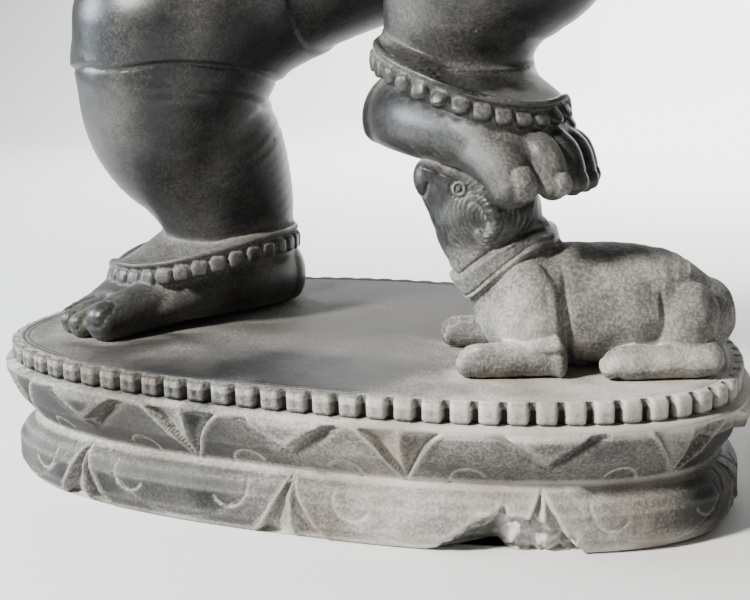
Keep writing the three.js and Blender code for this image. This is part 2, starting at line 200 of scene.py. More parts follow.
def nearest(length, marks):
    """The walked distance from the nearest of some marks round the outline, negative before it."""
    apart = np.mod(length[..., None] - marks + ROUND / 2, ROUND) - ROUND / 2
    return np.take_along_axis(apart, np.abs(apart).argmin(-1)[..., None], -1)[..., 0]


def middles(marks):
    """The places half way between neighbouring marks."""
    return marks + np.mod(np.roll(marks, -1) - marks, ROUND) / 2


def ease(value):
    """A smooth step from 0 to 1: three times the square less twice the cube."""
    value = np.clip(value, 0, 1)
    return value * value * (3 - 2 * value)


def ridge(distance, width):
    """A bell shape, 1 on the line and gone about two widths away."""
    return np.exp(-((distance / width) ** 2))


def ripple(points, length, seed, waves=7):
    """Smooth unevenness, mostly between -1 and 1: sine waves of about one length, each running its own
    way with its own start, added up and divided by the root of their number."""
    random = np.random.default_rng(seed)
    ways = random.normal(size=(waves, 3))
    ways /= np.linalg.norm(ways, axis=1, keepdims=True)
    ways *= (2 * np.pi / length * random.uniform(0.7, 1.5, (waves, 1)))
    starts = random.uniform(0, 2 * np.pi, waves)
    return np.sin(points @ ways.T.astype(points.dtype) + starts.astype(points.dtype)).sum(-1) / waves ** 0.5


def arch(across, reach, rise):
    """A petal's edge: its height over the distance from the notch, steep at first and level at its reach,
    with the length of its slope for turning heights into distances from the line."""
    left = np.clip(1 - np.abs(across) / reach, 0, 1)
    return rise * (1 - left ** 1.5), np.hypot(1, rise / reach * 1.5 * left ** 0.5)


def curl(across, height, middle, radii, start, end):
    """The distance from an arc of an oval, from one angle to another, both counted anticlockwise."""
    across, height = across - middle[0], height - middle[1]
    turn = np.mod(np.arctan2(height / radii[1], across / radii[0]) - start, 2 * np.pi)
    nearer_end = np.where(turn < (end - start) / 2 + np.pi, end - start, 0)
    held = np.where(turn < end - start, turn, nearer_end) + start
    return np.hypot(across - radii[0] * np.cos(held), height - radii[1] * np.sin(held))


def petal_row(notch, up, wobble, reach, rise, lean, share):
    """What both rows of petals have. Between two notches lies a petal with two lobes. What is above the
    lobes' edge is cut back, and a leaf stands there, as wide as a share of the notch and a little to one
    side of it. Gives the distance inside the lobes' edge, the cut, the leaf, the leaf's left side, which
    gets painted light, and the crest along the edge."""
    edge, slope = arch(notch + wobble, reach, rise)
    lobe = (edge - up) / slope
    cut = ease(-lobe / 0.003)
    wide = reach * (1 - np.clip(1 - up / rise, 0, 1) ** (1 / 1.5)) + 0.001
    leaf = np.clip(1 - np.abs((notch - lean * wide) / wide) / share, 0, 1)
    lit = cut * (notch < lean * wide) * (leaf > 0)
    crest = ridge(lobe - 0.0022, 0.0022) * ease(up / 0.008)
    return lobe, cut, leaf, lit, crest


def petals(length, height):
    """How far the carving of the petals stands out from the plain profile, and how pale or dark it is:
    the two rows of petals, with hooked lines cut into them. Over the dip between the upper petals' lobes
    hangs their curled tip, and a fold runs along the foot of the lower ones."""
    wobble = 0.0016 * ripple(np.stack([length, height, length * 0], -1), 0.07, 4)
    rise = BAND_TOP - WAIST

    notch = nearest(length, UPPER_NOTCHES)
    middle = nearest(length, middles(UPPER_NOTCHES))
    up = height - WAIST
    lobe, cut, leaf, lit, crest = petal_row(notch, up, wobble, UPPER_REACH, rise, 0.05, 0.76)
    dip = rise * (0.44 + 0.66 * np.abs(middle) / 0.07)
    tip = (dip - up + wobble) / 1.25
    hang = ease(-tip / 0.0025) * (1 - cut) * (np.abs(middle) < 0.075)
    flap = hang * (0.0045 + 0.0075 * np.clip((rise - up) / (0.6 * rise), 0, 1))
    under = ridge(np.maximum(tip, 0), 0.008) * (1 - hang) * (np.abs(middle) < 0.07) * ease(up / 0.02)
    under = under * (1 + 0.8 * ease(middle / 0.006))
    hook = curl(np.abs(notch) - 0.057, up, (0.020, 0.004), (0.022, 0.020), np.radians(25), np.radians(190))
    line = ridge(hook, LINE_WIDTH) * (np.abs(middle) > 0.02)
    upper = -0.0135 * cut + 0.0140 * leaf * cut + flap - 0.0075 * under + 0.0018 * crest - 0.0026 * line
    # The tone: pale crests and cut lines, and the leaf's left side, which gets painted light.
    upper_tone = 0.75 * crest + line + 0.8 * lit
    inside = lobe > 0.004
    # A pale line along the dip's left arm, partly dust and partly painted light, and painted shadow under the
    # tip along its right arm, kept as negative tone.
    upper_tone += 0.8 * ridge(tip + 0.001, 0.0026) * (middle < 0.004) * inside
    upper_tone -= 1.2 * ridge(tip - 0.004, 0.006) * ease(middle / 0.006) * (np.abs(middle) < 0.065) * inside

    notch = nearest(length, LOWER_NOTCHES)
    middle = nearest(length, middles(LOWER_NOTCHES))
    down = WAIST - height
    lobe, cut, leaf, lit, crest = petal_row(notch, down, wobble, LOWER_REACH, WAIST, 0.1, 0.78)
    hook = curl(np.abs(notch) - 0.058, down, (0.022, 0.020), (0.024, 0.026), np.radians(35), np.radians(195))
    line = ridge(hook, LINE_WIDTH)
    fold = ridge(down - 0.069 + 0.016 * (middle / 0.06) ** 2, 0.0022) * (1 - cut)
    lower = -0.0145 * cut + 0.0150 * leaf * cut + 0.0018 * crest - 0.0026 * line - 0.0018 * fold
    # The lower leaves' left sides get painted light in the same way.
    lower_tone = 0.75 * crest + line + 0.8 * lit + 0.3 * fold
    out = np.where(height > WAIST, upper, np.where(height < WAIST, lower * ease(down / 0.004), 0))
    pale = np.where(height > WAIST, upper_tone, np.where(height < WAIST, lower_tone, 0))
    return out, np.clip(pale, -1, 1)


def beads(length, height):
    """How far the rim's edge lies inside the outline: cushions, rounded off by a seventh power along the
    rim and by a sixth power up and down, and straight gaps cut back between them."""
    pitch = ROUND / RIM_BEADS
    share = np.mod(length / pitch - FIRST_GAP, 1)
    along = np.abs(share - 0.5) * pitch / BEAD_HALF
    half = (PLINTH_TOP - BEAD_FOOT) / 2
    upright = np.abs(height - BEAD_FOOT - half) / half
    cushion = np.sqrt(np.clip(1 - along ** 7 - 0.75 * upright ** 6, 0, 1))
    return 0.003 + BEAD_DEPTH * (1 - cushion)


CHIP_START = 0.766
CHIP_PEAK = 0.874
CHIP_END = 0.970
CHIP_RISE = 0.056


def chip(length, height):
    """The break at the foot of the front petals: how deep it goes, and how fresh its stone is. Its upper
    edge climbs from the left like a wave to its peak and falls away to the right. The left part is a
    smooth hollow that goes in deep below, the right part rough and fresh."""
    spot = np.stack([length, height, length * 0], -1)
    left = ease((CHIP_PEAK + 0.008 - length) / 0.022)
    climb = ease((length - CHIP_START) / (CHIP_PEAK - CHIP_START))
    fall = np.clip((CHIP_END - length) / (CHIP_END - CHIP_PEAK), 0, 1) ** 0.6
    roof = CHIP_RISE * np.where(length < CHIP_PEAK, climb, fall)
    roof = roof + (0.0012 + 0.0030 * (1 - left)) * ripple(spot, 0.022, 12) * ease(roof / 0.01)
    below = (roof - height) / CHIP_RISE
    inside = ease(below / (0.05 + 0.10 * left)) * (length > CHIP_START) * (length < CHIP_END)
    rough = 0.0070 * np.abs(ripple(spot, 0.030, 13)) + 0.0030 * np.abs(ripple(spot, 0.010, 14))
    hollowed = 0.008 + 0.046 * np.clip(below, 0, 1) ** 1.3
    return inside * (hollowed * left + (0.009 + rough) * (1 - left)), inside * (1 - left)


def plinth_side(length, height):
    """Where the plinth's edge lies inside the outline at a walked length and a height."""
    plain = np.interp(height, LEVELS[:, 0], LEVELS[:, 1])
    band = ease((height - BAND_TOP) / (BEAD_FOOT - BAND_TOP))
    inset = plain * (1 - band) + beads(length, height) * band
    carved = petals(length, height)[0] * ease((BAND_TOP - 0.004 - height) / 0.004) * ease(height / 0.004)
    return inset - carved + chip(length, height)[0]


def plinth_mesh():
    """The plinth as rings of points from the middle of its underside, up its edge and in over its top.
    The rings are closer where the carving is, and their points closer along the front."""
    front = np.linspace(0.02, 0.55, FRONT_COLUMNS, endpoint=False)
    back = np.linspace(0.55, 1.02, BACK_COLUMNS, endpoint=False)
    length = np.concatenate([front, back]) * ROUND
    heights = np.concatenate([np.linspace(0, 0.153, SIDE_ROWS), np.linspace(0.1548, PLINTH_TOP, RIM_ROWS)])
    rows = []
    depths = []

    def ring(level, inset, depth, share=1):
        """Adds the outline moved in by inset, drawn together to a share of its size, at a level."""
        level = np.broadcast_to(level, length.shape)
        place = outline(length, np.broadcast_to(inset, length.shape)) * share
        rows.append(np.concatenate([place, level[:, None]], 1))
        depths.append(np.broadcast_to(depth, length.shape))

    ring(0.0, 0.04, 0, 0.5)
    ring(0.0, 0.04, 0)
    for level in heights:
        inset = plinth_side(length, length * 0 + level)
        ring(level, inset, inset)
    rim_inset = plinth_side(length, length * 0 + PLINTH_TOP)
    for step in (0.0135, 0.0150, 0.0165, 0.0180, 0.0195, 0.0205, 0.0215, 0.0225, 0.0240, 0.0255, 0.0265,
                 0.0275, 0.0285, 0.0300, 0.034, 0.045, 0.07):
        line = ridge(step - 0.0205, 0.0012) + 0.7 * ridge(step - 0.0270, 0.0011)
        ring(PLINTH_TOP - 0.0014 * line, np.maximum(rim_inset, step), 0.0014 * line)
    for share in (0.92, 0.8, 0.66, 0.5, 0.3):
        ring(PLINTH_TOP, 0.07, 0, share)
    walk = np.stack([np.tile(length, len(rows)), np.concatenate([row[:, 2] for row in rows])], -1)
    walk = np.concatenate([walk, [(0, 0), (0, PLINTH_TOP)]])
    return closed_rings(np.stack(rows)), walk, np.concatenate(depths), len(length)


def closed_rings(grid):
    """A closed skin over rings of points: faces between neighbouring rings, and a fan at each end."""
    rings, columns = grid.shape[:2]
    start = np.arange(columns)
    after = np.roll(start, -1)
    quads = np.concatenate([
        np.stack([start, after, after + columns, start + columns], -1) + ring * columns
        for ring in range(rings - 1)])
    points = np.concatenate([grid.reshape(-1, 3), grid[0].mean(0)[None], grid[-1].mean(0)[None]])
    low = np.stack([after, start, np.full(columns, len(points) - 2)], -1)
    high = np.stack([start, after, np.full(columns, 0)], -1) + (rings - 1) * columns
    high[:, 2] = len(points) - 1
    return points, quads.tolist() + low.tolist() + high.tolist()


def skinned(name, points, faces):
    """A mesh object from points and faces, smooth all over, with its place in its mesh."""
    mesh = bpy.data.meshes.new(name)
    mesh.from_pydata(np.asarray(points).tolist(), [], faces)
    mesh.polygons.foreach_set("use_smooth", np.ones(len(mesh.polygons), bool))
    mesh.update()
    made = bpy.data.objects.new(name, mesh)
    bpy.context.scene.collection.objects.link(made)
    return made


skin, plinth_walk, plinth_depth, PLINTH_COLUMNS = plinth_mesh()
plinth = skinned("plinth", *skin)
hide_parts("statue")
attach(plinth, "root")

# The figure
# The dancer and the mouse are carved from the same block as the plinth. Their forms are worked out as
# one field of distances, each melted into its neighbours the way a carver leaves them, and the field
# is skinned where it is zero.

STEP = 0.0025
REACH = 0.024
FAR = 0.05
BATCH = 50000
ANKLET_POINTS = 97
CORD_RADIUS = 0.0046
ANKLET_BEAD = (0.0113, 0.0068)
FRONT = (0.0, -1.0, 0.0)
UP = (0.0, 0.0, 1.0)
MIDDLE = 0.035
FORMS = []
NAILS = []


def melt(low, high, distance, soft):
    """Adds a form to the field. Where it comes closer than soft to the forms before it they flow into
    each other: the smaller distance, less a quarter of soft times the square of how close they are."""
    def change(places, old):
        """The field after this form."""
        new = distance(places)
        close = np.maximum(soft - np.abs(old - new), 0) / soft
        return np.minimum(old, new) - close * close * (soft / 4)

    FORMS.append((np.float32(low) - soft - REACH, np.float32(high) + soft + REACH, change))


def swell(low, high, amount):
    """Raises the surface by an amount that depends on the place, or sinks it where that is negative."""
    FORMS.append((np.float32(low), np.float32(high), lambda places, old: old - amount(places)))


def field_at(places):
    """The field at some places: how far outside the stone they are, form after form, each only where it
    reaches."""
    value = np.full(len(places), FAR, np.float32)
    for part in np.array_split(np.arange(len(places)), 1 + len(places) // BATCH):
        here = places[part]
        low, high = here.min(0), here.max(0)
        for form_low, form_high, change in FORMS:
            if (form_low < high).all() and (form_high > low).all():
                near = ((here > form_low) & (here < form_high)).all(1)
                if near.any():
                    value[part[near]] = change(here[near], value[part[near]])
    return value


def through(stations, between):
    """A smooth curve through the stations, all their numbers carried along: between two of them, the
    cubic whose slopes are half the difference of the neighbours."""
    known = np.array(stations, float)
    known = np.concatenate([[2 * known[0] - known[1]], known, [2 * known[-1] - known[-2]]])
    part = np.linspace(0, 1, between, endpoint=False)[:, None]
    a, b, c, d = (known[n:len(known) - 3 + n, None] for n in range(4))
    square, cube = a - 2.5 * b + 2 * c - d / 2, 1.5 * (b - c) + (d - a) / 2
    curve = b + (c - a) / 2 * part + square * part ** 2 + cube * part ** 3
    return np.concatenate([curve.reshape(-1, known.shape[1]), known[-2:-1]])


def oval_distance(offset, half):
    """About how far outside a stretched sphere a point lies: its length in half sizes, times that less
    one, over the length of its gradient."""
    scaled = np.sqrt(sum((part / size) ** 2 for part, size in zip(offset, half)))
    slope = np.sqrt(sum((part / (size * size)) ** 2 for part, size in zip(offset, half)))
    return scaled * (scaled - 1) / np.maximum(slope, 1e-6)


def limb_shape(stations, facing, end, between=5):
    """Oval sections carried along a smooth curve. A station is a place, a half width and a half
    thickness, which lies towards facing; end is how far the rounded ends reach, in half sizes."""
    known = [(*s[:3], s[3], s[-1]) for s in stations]
    curve = through(known, between).astype(np.float32)
    centre, girth = curve[:, :3], curve[:, 3:]
    ahead = np.gradient(centre, axis=0)
    ahead /= np.linalg.norm(ahead, axis=1, keepdims=True)
    side = np.cross(ahead, np.asarray(facing, np.float32))
    side /= np.linalg.norm(side, axis=1, keepdims=True)
    front = np.cross(side, ahead)
    carried = np.concatenate([centre, side, front, ahead, girth], 1).astype(np.float32)

    def distance(places):
        """The oval's distance in the section carried to the nearest point of the line."""
        x, y, z = np.ascontiguousarray(places.T)
        best = np.full(len(places), 1e9, np.float32)
        index = np.zeros(len(places), np.float32)
        for n, (start, step) in enumerate(zip(centre[:-1], np.diff(centre, axis=0))):
            away_x, away_y, away_z = x - start[0], y - start[1], z - start[2]
            part = np.clip((away_x * step[0] + away_y * step[1] + away_z * step[2]) / (step @ step), 0, 1)
            away_x -= part * step[0]
            away_y -= part * step[1]
            away_z -= part * step[2]
            away = away_x * away_x + away_y * away_y + away_z * away_z
            nearer = away < best
            best = np.where(nearer, away, best)
            index = np.where(nearer, n + part, index)
        whole = np.minimum(index.astype(int), len(centre) - 2)
        part = (index - whole)[:, None]
        here = carried[whole] * (1 - part) + carried[whole + 1] * part
        offset = places - here[:, :3]
        wide, thick = here[:, 12], here[:, 13]
        parts = [(offset * here[:, at:at + 3]).sum(1) for at in (3, 6, 9)]
        return oval_distance(parts, (wide, thick, np.minimum(wide, thick) * end))

    reach = girth.max(1)[:, None]
    return (centre - reach).min(0), (centre + reach).max(0), distance


def limb(stations, soft=0.006, facing=FRONT, end=0.75, between=5):
    """A limb that is joined to the field."""
    melt(*limb_shape(stations, facing, end, between), soft)


def egg(middle, half, tilt=0, soft=0.006):
    """A sphere stretched to three half sizes and turned about y by tilt, in radians."""
    cosine, sine = np.cos(tilt), np.sin(tilt)
    axes = np.array([[cosine, 0, sine], [0, 1, 0], [-sine, 0, cosine]]).astype(np.float32)
    middle = np.array(middle, np.float32)
    reach = max(half)

    def distance(places):
        """The stretched sphere's distance in its own axes."""
        offset = (places - middle) @ axes
        return oval_distance([offset[..., n] for n in range(3)], half)

    melt(middle - reach, middle + reach, distance, soft)


def turned_on(profile, at, axis):
    """A profile of radii and heights turned about an axis: the distance to the nearest side of the
    profile, negative inside it."""
    axis = np.array(axis, np.float32) / np.linalg.norm(axis)
    at = np.array(at, np.float32)
    corners = np.array(profile, np.float32)
    corners = np.concatenate([corners, [(0, corners[-1, 1]), (0, corners[0, 1])]])
    reach = np.abs(corners).max() * 1.2

    def distance(places):
        """The distance from the profile's sides, by height along the axis and radius from it."""
        offset = places - at
        height = offset @ axis
        radius = np.sqrt(np.maximum((offset ** 2).sum(-1) - height ** 2, 0))
        best = np.full(radius.shape, 1e9, np.float32)
        inside = np.zeros(radius.shape, bool)
        for (r0, h0), (r1, h1) in zip(corners, np.roll(corners, -1, 0)):
            length = (r1 - r0) ** 2 + (h1 - h0) ** 2
            if length < 1e-12 or (r0 == 0 and r1 == 0):
                continue
            part = np.clip(((radius - r0) * (r1 - r0) + (height - h0) * (h1 - h0)) / length, 0, 1)
            beside, beyond = radius - r0 - part * (r1 - r0), height - h0 - part * (h1 - h0)
            best = np.minimum(best, beside ** 2 + beyond ** 2)
            if h0 != h1:
                crosses = (h0 > height) != (h1 > height)
                inside ^= crosses & (radius < r0 + (height - h0) * (r1 - r0) / (h1 - h0))
        return np.where(inside, -1, 1) * np.sqrt(best)

    melt(at - reach, at + reach, distance, 0.004)


def foot_frame(heel, aim, mirrored):
    """The axes of a foot, as rows: along it from the heel, towards the big toe's side, and above."""
    along = np.array(aim, float) / np.linalg.norm(aim)
    inner = np.array((-along[1], along[0], 0))
    inner *= (-1 if mirrored else 1) / np.linalg.norm(inner)
    above = np.cross(along, inner)
    return np.array(heel), np.array([along, inner, above * np.sign(above[2])])


def on_foot(stand, places):
    """Places of a foot's own frame carried to the statue's."""
    return stand[0] + np.asarray(places, float) @ stand[1]


def foot(stand, sole, toes):
    """A foot flat underneath: a long oval, cut off softly at the sole, and five toes that curve down,
    each with a nail that stands out a little."""
    heel, axes = stand[0].astype(np.float32), stand[1].astype(np.float32)
    low, high, oval = limb_shape([(*on_foot(stand, s[:3]), *s[3:]) for s in sole], UP, 0.75)

    def flat(places):
        """The larger of the oval's distance and the depth under the sole, eased where they meet."""
        side, under = oval(places), 0.001 - (places - heel) @ axes[2]
        close = np.maximum(0.016 - np.abs(side - under), 0) / 0.016
        return np.maximum(side, under) + close * close * 0.004

    melt(low, high, flat, 0.008)
    for stations in toes:
        path = [(*on_foot(stand, s[:3]), *s[3:]) for s in stations]
        limb(path, 0.004, UP, end=0.8, between=4)
        thick = stations[-1][-1]
        run = np.subtract(stations[-1][:3], stations[-2][:3])
        run /= np.linalg.norm(run)
        lifted = np.cross(np.cross(run, (0, 0, 1)), run)
        lifted /= np.linalg.norm(lifted)
        middle = np.array(stations[-1][:3]) + run * thick * 0.15
        nail = on_foot(stand, middle + lifted * thick * 0.92).astype(np.float32)
        way = np.float32([run @ axes, np.cross(run, lifted) @ axes, lifted @ axes])
        size = np.float32([0.6, 0.62, 0.5]) * thick

        def plate(places, nail=nail, way=way, size=size):
            """A raised plate, square with round corners by a fourth power, and a groove round it."""
            offset = (places - nail) @ way.T / size
            away = (offset[:, 0] ** 4 + offset[:, 1] ** 4 + offset[:, 2] ** 4 / 9) ** 0.25
            return 0.0013 * ease((1.05 - away) / 0.15) - 0.0015 * ridge(away - 1.16, 0.09)

        swell(nail - 0.03, nail + 0.03, plate)
        NAILS.append((nail, way, size))


def anklet(stand, crease, size):
    """The instep spreads like a cone from the ankle's crease to a slack cord over heel and foot, with a
    string of flat beads set under it. The crease is given by its middle along the foot and beside it,
    its radius, its height and its droop."""
    heel, axes = stand[0].astype(np.float32), stand[1].astype(np.float32)
    middle, long, wide = size["middle"], size["long"], size["wide"]
    crease_middle, crease_side, crease_round, crease_height, crease_droop = crease

    def level(angle):
        """The cord's height: a hump over both sides, a droop towards the toes, a drop on the outer side."""
        drop = ease((-np.sin(angle) - size["after"]) / size["over"])
        return (size["height"] - size["hump"] * np.cos(2 * angle) - size["droop"] * np.cos(angle)
                - size["drop"] * drop)

    def ring(angle, out, rise):
        """Points of an oval ring at the cord's height, moved out and up."""
        return on_foot(stand, np.stack([
            middle + (long + out) * np.cos(angle), (wide + out) * np.sin(angle), level(angle) + rise], -1))

    whole = ring(np.linspace(0, 2 * np.pi, ANKLET_POINTS), 0.002, 0).astype(np.float32)
    low, high = whole.min(0) - 0.02, whole.max(0) + 0.02

    def flare(places):
        """A cone between two ovals, the crease's and the cord's, cut off under and over them. Which way a
        point lies from the middle is worked out twice, because the middle shifts with the height."""
        offset = places - heel
        u, v, w = (offset @ axis for axis in axes)
        angle = np.arctan2(v / wide, (u - middle) / long)
        for _ in range(2):
            foot_level = level(angle) + 0.014
            top = np.maximum(crease_height - crease_droop * np.cos(angle), foot_level + 0.010)
            share = np.clip((w - foot_level) / (top - foot_level), 0, 1)
            opening = 1 - share
            lean = (long - crease_round) / (top - foot_level)
            centre = crease_middle + (middle - crease_middle) * opening
            beside = crease_side * (1 - opening)
            reach_u = crease_round + (long - crease_round) * opening
            reach_v = crease_round + (wide - crease_round) * opening
            angle = np.arctan2((v - beside) / reach_v, (u - centre) / reach_u)
        slant = np.hypot(1, lean * (share > 0) * (share < 1))
        side = oval_distance((u - centre, v - beside), (reach_u, reach_v)) / slant
        return np.maximum(np.maximum(side, level(angle) - 0.012 - w), w - top - 0.004)

    melt(low, high + (0, 0, 0.06), flare, 0.010)

    def cord(places):
        """The distance from the nearest stretch of the cord's line, less its radius."""
        best = np.full(len(places), 1e9, np.float32)
        line = ring(np.linspace(0, 2 * np.pi, ANKLET_POINTS), 0.001, 0.0175).astype(np.float32)
        for start, step in zip(line[:-1], np.diff(line, axis=0)):
            part = np.clip((places - start) @ step / (step @ step), 0, 1)
            best = np.minimum(best, ((places - start - part[:, None] * step) ** 2).sum(1))
        return np.sqrt(best) - CORD_RADIUS

    melt(low, high + (0, 0, 0.02), cord, 0.003)
    turns = np.linspace(0, 2 * np.pi, size["beads"], endpoint=False)
    bead_middles = ring(turns, 0.002, 0).astype(np.float32)
    outward = np.stack([np.cos(turns) / long, np.sin(turns) / wide], -1)
    outward = (outward / np.linalg.norm(outward, axis=1, keepdims=True)) @ axes[:2]
    lean_back = size["lean"] * ease(np.cos(turns) * 1.4)[:, None]
    facing = outward * np.cos(lean_back) + axes[2] * np.sin(lean_back)
    rising = axes[2] * np.cos(lean_back) - outward * np.sin(lean_back)

    def string(places):
        """The distance from the nearest bead: a flat cushion with rounded corners."""
        best = np.full(len(places), 1e9, np.float32)
        broad, flat = ANKLET_BEAD
        power = size["corners"]
        for centre, out, rise in zip(bead_middles, facing.astype(np.float32), rising.astype(np.float32)):
            offset = places - centre
            proud, up = offset @ out, offset @ rise
            beside = np.sqrt(np.maximum((offset ** 2).sum(1) - proud * proud - up * up, 0))
            around = (beside ** power + np.abs(up) ** power) ** (1 / power)
            scaled = ((around / broad) ** 4 + (proud / flat) ** 4) ** 0.25
            slope = np.hypot(around ** 3 / broad ** 4, proud ** 3 / flat ** 4)
            slope = slope / np.maximum(scaled, 0.001) ** 3
            best = np.minimum(best, (scaled - 1) / np.maximum(slope, 50))
        return best

    melt(low, high, string, 0.002)


# The standing leg
# Stout and columnar, of the same stone, polished by hands: its foot stands flat on the plinth, with a
# deep crease at the ankle, and the hem of a tight garment ends over the knee, with one shallow fold.

STANDING_FOOT = foot_frame((-0.243, 0.108, PLINTH_TOP), (-0.474, -0.88, 0), False)
foot(STANDING_FOOT,
     ((-0.030, 0, 0.036, 0.068, 0.062), (0.010, 0, 0.044, 0.084, 0.065), (0.070, 0, 0.050, 0.095, 0.064),
      (0.160, -0.002, 0.038, 0.092, 0.050), (0.222, 0.000, 0.024, 0.078, 0.033)),
     (((0.185, 0.040, 0.034, 0.034), (0.244, 0.048, 0.030, 0.032), (0.286, 0.053, 0.023, 0.026)),
      ((0.195, 0.014, 0.030, 0.019), (0.262, 0.014, 0.024, 0.019), (0.300, 0.016, 0.015, 0.017)),
      ((0.195, -0.013, 0.030, 0.018), (0.262, -0.015, 0.023, 0.018), (0.296, -0.015, 0.014, 0.016)),
      ((0.190, -0.038, 0.030, 0.017), (0.248, -0.042, 0.022, 0.017), (0.280, -0.043, 0.013, 0.015)),
      ((0.180, -0.060, 0.030, 0.016), (0.228, -0.066, 0.021, 0.016), (0.256, -0.068, 0.012, 0.014))))
anklet(STANDING_FOOT, (0.040, -0.002, 0.095, 0.112, 0),
       {"middle": 0.083, "long": 0.133, "wide": 0.124, "height": 0.091, "droop": 0.014, "hump": 0.009,
        "after": 0.15, "over": 0.7, "drop": 0.034, "corners": 3.5, "lean": 0.3,
        "beads": 33})
limb([(-0.263, 0.082, 0.265, 0.092), (-0.263, 0.080, 0.300, 0.092), (-0.260, 0.060, 0.345, 0.100),
      (-0.271, 0.040, 0.396, 0.113), (-0.293, 0.018, 0.447, 0.126), (-0.300, 0.002, 0.487, 0.1305),
      (-0.291, -0.018, 0.540, 0.130)], 0.004, end=0.5)
limb([(MIDDLE, 0.090, 0.752, 0.142), (-0.090, 0.080, 0.712, 0.140), (-0.200, 0.036, 0.655, 0.134),
      (-0.256, -0.002, 0.606, 0.131)], 0.03, end=0.9)
limb([(-0.292, -0.014, 0.560, 0.1315), (-0.288, -0.018, 0.600, 0.131)], 0.02, end=0.9)


HEM_LEVEL = 0.526
GARMENT_TOP = 0.700


def hem(places):
    """The garment ends in a lip over the knee, with a narrow groove under it and a shallow fold further
    down: heights over a gently tilted level."""
    x, y, z = places.T
    spot = 0.003 * ripple(places, 0.11, 31, 5)
    over = z - (HEM_LEVEL + 0.008 * x - 0.177 * y) - spot
    right = ease((x + 0.275 - y * 0.3) / 0.06)
    fold = ridge(over + 0.046 - 0.012 * right, 0.004) - ridge(over + 0.053 - 0.012 * right, 0.004)
    lip = 0.0042 * ease(over / 0.004 + 0.5) * ease((GARMENT_TOP - z) / 0.10)
    return lip - 0.0018 * ridge(over + 0.0035, 0.0022) + 0.0011 * fold * right


swell((-0.462, -0.20, 0.45), (-0.10, 0.20, 0.72), hem)

# The raised leg
# The dancer's left leg, of the same stone. It steps up onto the mouse's head, with a slack anklet like
# the other one's, and its toes curl down over the brow.

RAISED_FOOT = foot_frame((0.076, -0.040, 0.441), (0.834, -0.542, -0.1), True)
foot(RAISED_FOOT,
     ((-0.028, 0, 0.032, 0.070, 0.064), (0.010, 0, 0.040, 0.084, 0.067), (0.070, 0, 0.046, 0.094, 0.068),
      (0.140, -0.002, 0.044, 0.090, 0.058), (0.180, -0.008, 0.034, 0.080, 0.046),
      (0.210, -0.010, 0.020, 0.070, 0.034)),
     (((0.160, 0.046, 0.034, 0.034), (0.205, 0.048, 0.022, 0.034, 0.030),
       (0.232, 0.048, -0.003, 0.030, 0.026)),
      ((0.190, 0.010, 0.046, 0.020), (0.230, 0.008, 0.035, 0.021), (0.252, 0.005, 0.001, 0.020)),
      ((0.185, -0.024, 0.046, 0.018), (0.227, -0.027, 0.035, 0.019), (0.248, -0.029, 0.000, 0.0175)),
      ((0.178, -0.052, 0.044, 0.017), (0.216, -0.056, 0.033, 0.018), (0.237, -0.058, -0.002, 0.0165)),
      ((0.167, -0.075, 0.040, 0.016), (0.198, -0.080, 0.030, 0.017), (0.218, -0.082, -0.002, 0.015))))
anklet(RAISED_FOOT, (0.044, -0.012, 0.095, 0.113, -0.002),
       {"middle": 0.088, "long": 0.124, "wide": 0.114, "height": 0.101, "droop": 0.024, "hump": 0.005,
        "after": 0.40, "over": 0.45, "drop": 0.055, "corners": 2.2, "lean": 0.75,
        "beads": 30})
limb([(0.130, -0.050, 0.495, 0.096), (0.1265, -0.050, 0.540, 0.0935), (0.129, -0.051, 0.577, 0.0955),
      (0.139, -0.054, 0.615, 0.1065), (0.157, -0.058, 0.652, 0.1205), (0.180, -0.062, 0.690, 0.1320),
      (0.206, -0.070, 0.735, 0.132)], 0.006, end=0.5)
limb([(MIDDLE + 0.035, 0.060, 0.770, 0.140), (0.150, -0.010, 0.788, 0.135), (0.208, -0.058, 0.780, 0.130)],
     0.03, end=0.9)
limb([(0.198, -0.066, 0.714, 0.136), (0.214, -0.072, 0.760, 0.134)], 0.02, end=0.9)

# The torso
# It joins the legs to the arms and the head in one stone. It lies above the picture's edge, so it is
# plainer: a round belly, a girdle and a flat necklace.

limb([(MIDDLE + 0.004, 0.088, 0.690, 0.110, 0.085), (MIDDLE + 0.004, 0.076, 0.775, 0.168, 0.140),
      (MIDDLE + 0.004, 0.050, 0.860, 0.174, 0.166), (MIDDLE + 0.002, 0.056, 0.935, 0.156, 0.146),
      (MIDDLE, 0.076, 1.005, 0.148, 0.108), (MIDDLE, 0.080, 1.065, 0.112, 0.082),
      (MIDDLE, 0.064, 1.120, 0.074, 0.070)], 0.02, end=0.4)
limb([(MIDDLE + 0.002, 0.080, 0.752, 0.172, 0.140), (MIDDLE + 0.002, 0.076, 0.784, 0.178, 0.148)], 0.004,
     end=0.1)
turned_on(((0, -0.012), (0.126, -0.006), (0.122, 0.012), (0, 0.012)), (MIDDLE, 0.054, 1.062),
          (0, -0.42, 0.9))

# The arms
# Two pairs, carved free of the torso. The front pair blesses and holds a bowl of sweets, and the rear
# pair carries an axe and a lotus bud.


def arm(shoulder, elbow, wrist, thick=0.050):
    """An arm from the shoulder over the elbow to the wrist, slimmer towards the hand. A forearm that
    reaches forwards carries its sections' thickness upwards."""
    limb([(*shoulder, thick * 1.15), (*elbow, thick * 0.88)], 0.02)
    forwards = abs(wrist[1] - elbow[1]) > 0.11
    limb([(*elbow, thick * 0.88), (*wrist, thick * 0.58)], 0.01, UP if forwards else FRONT)


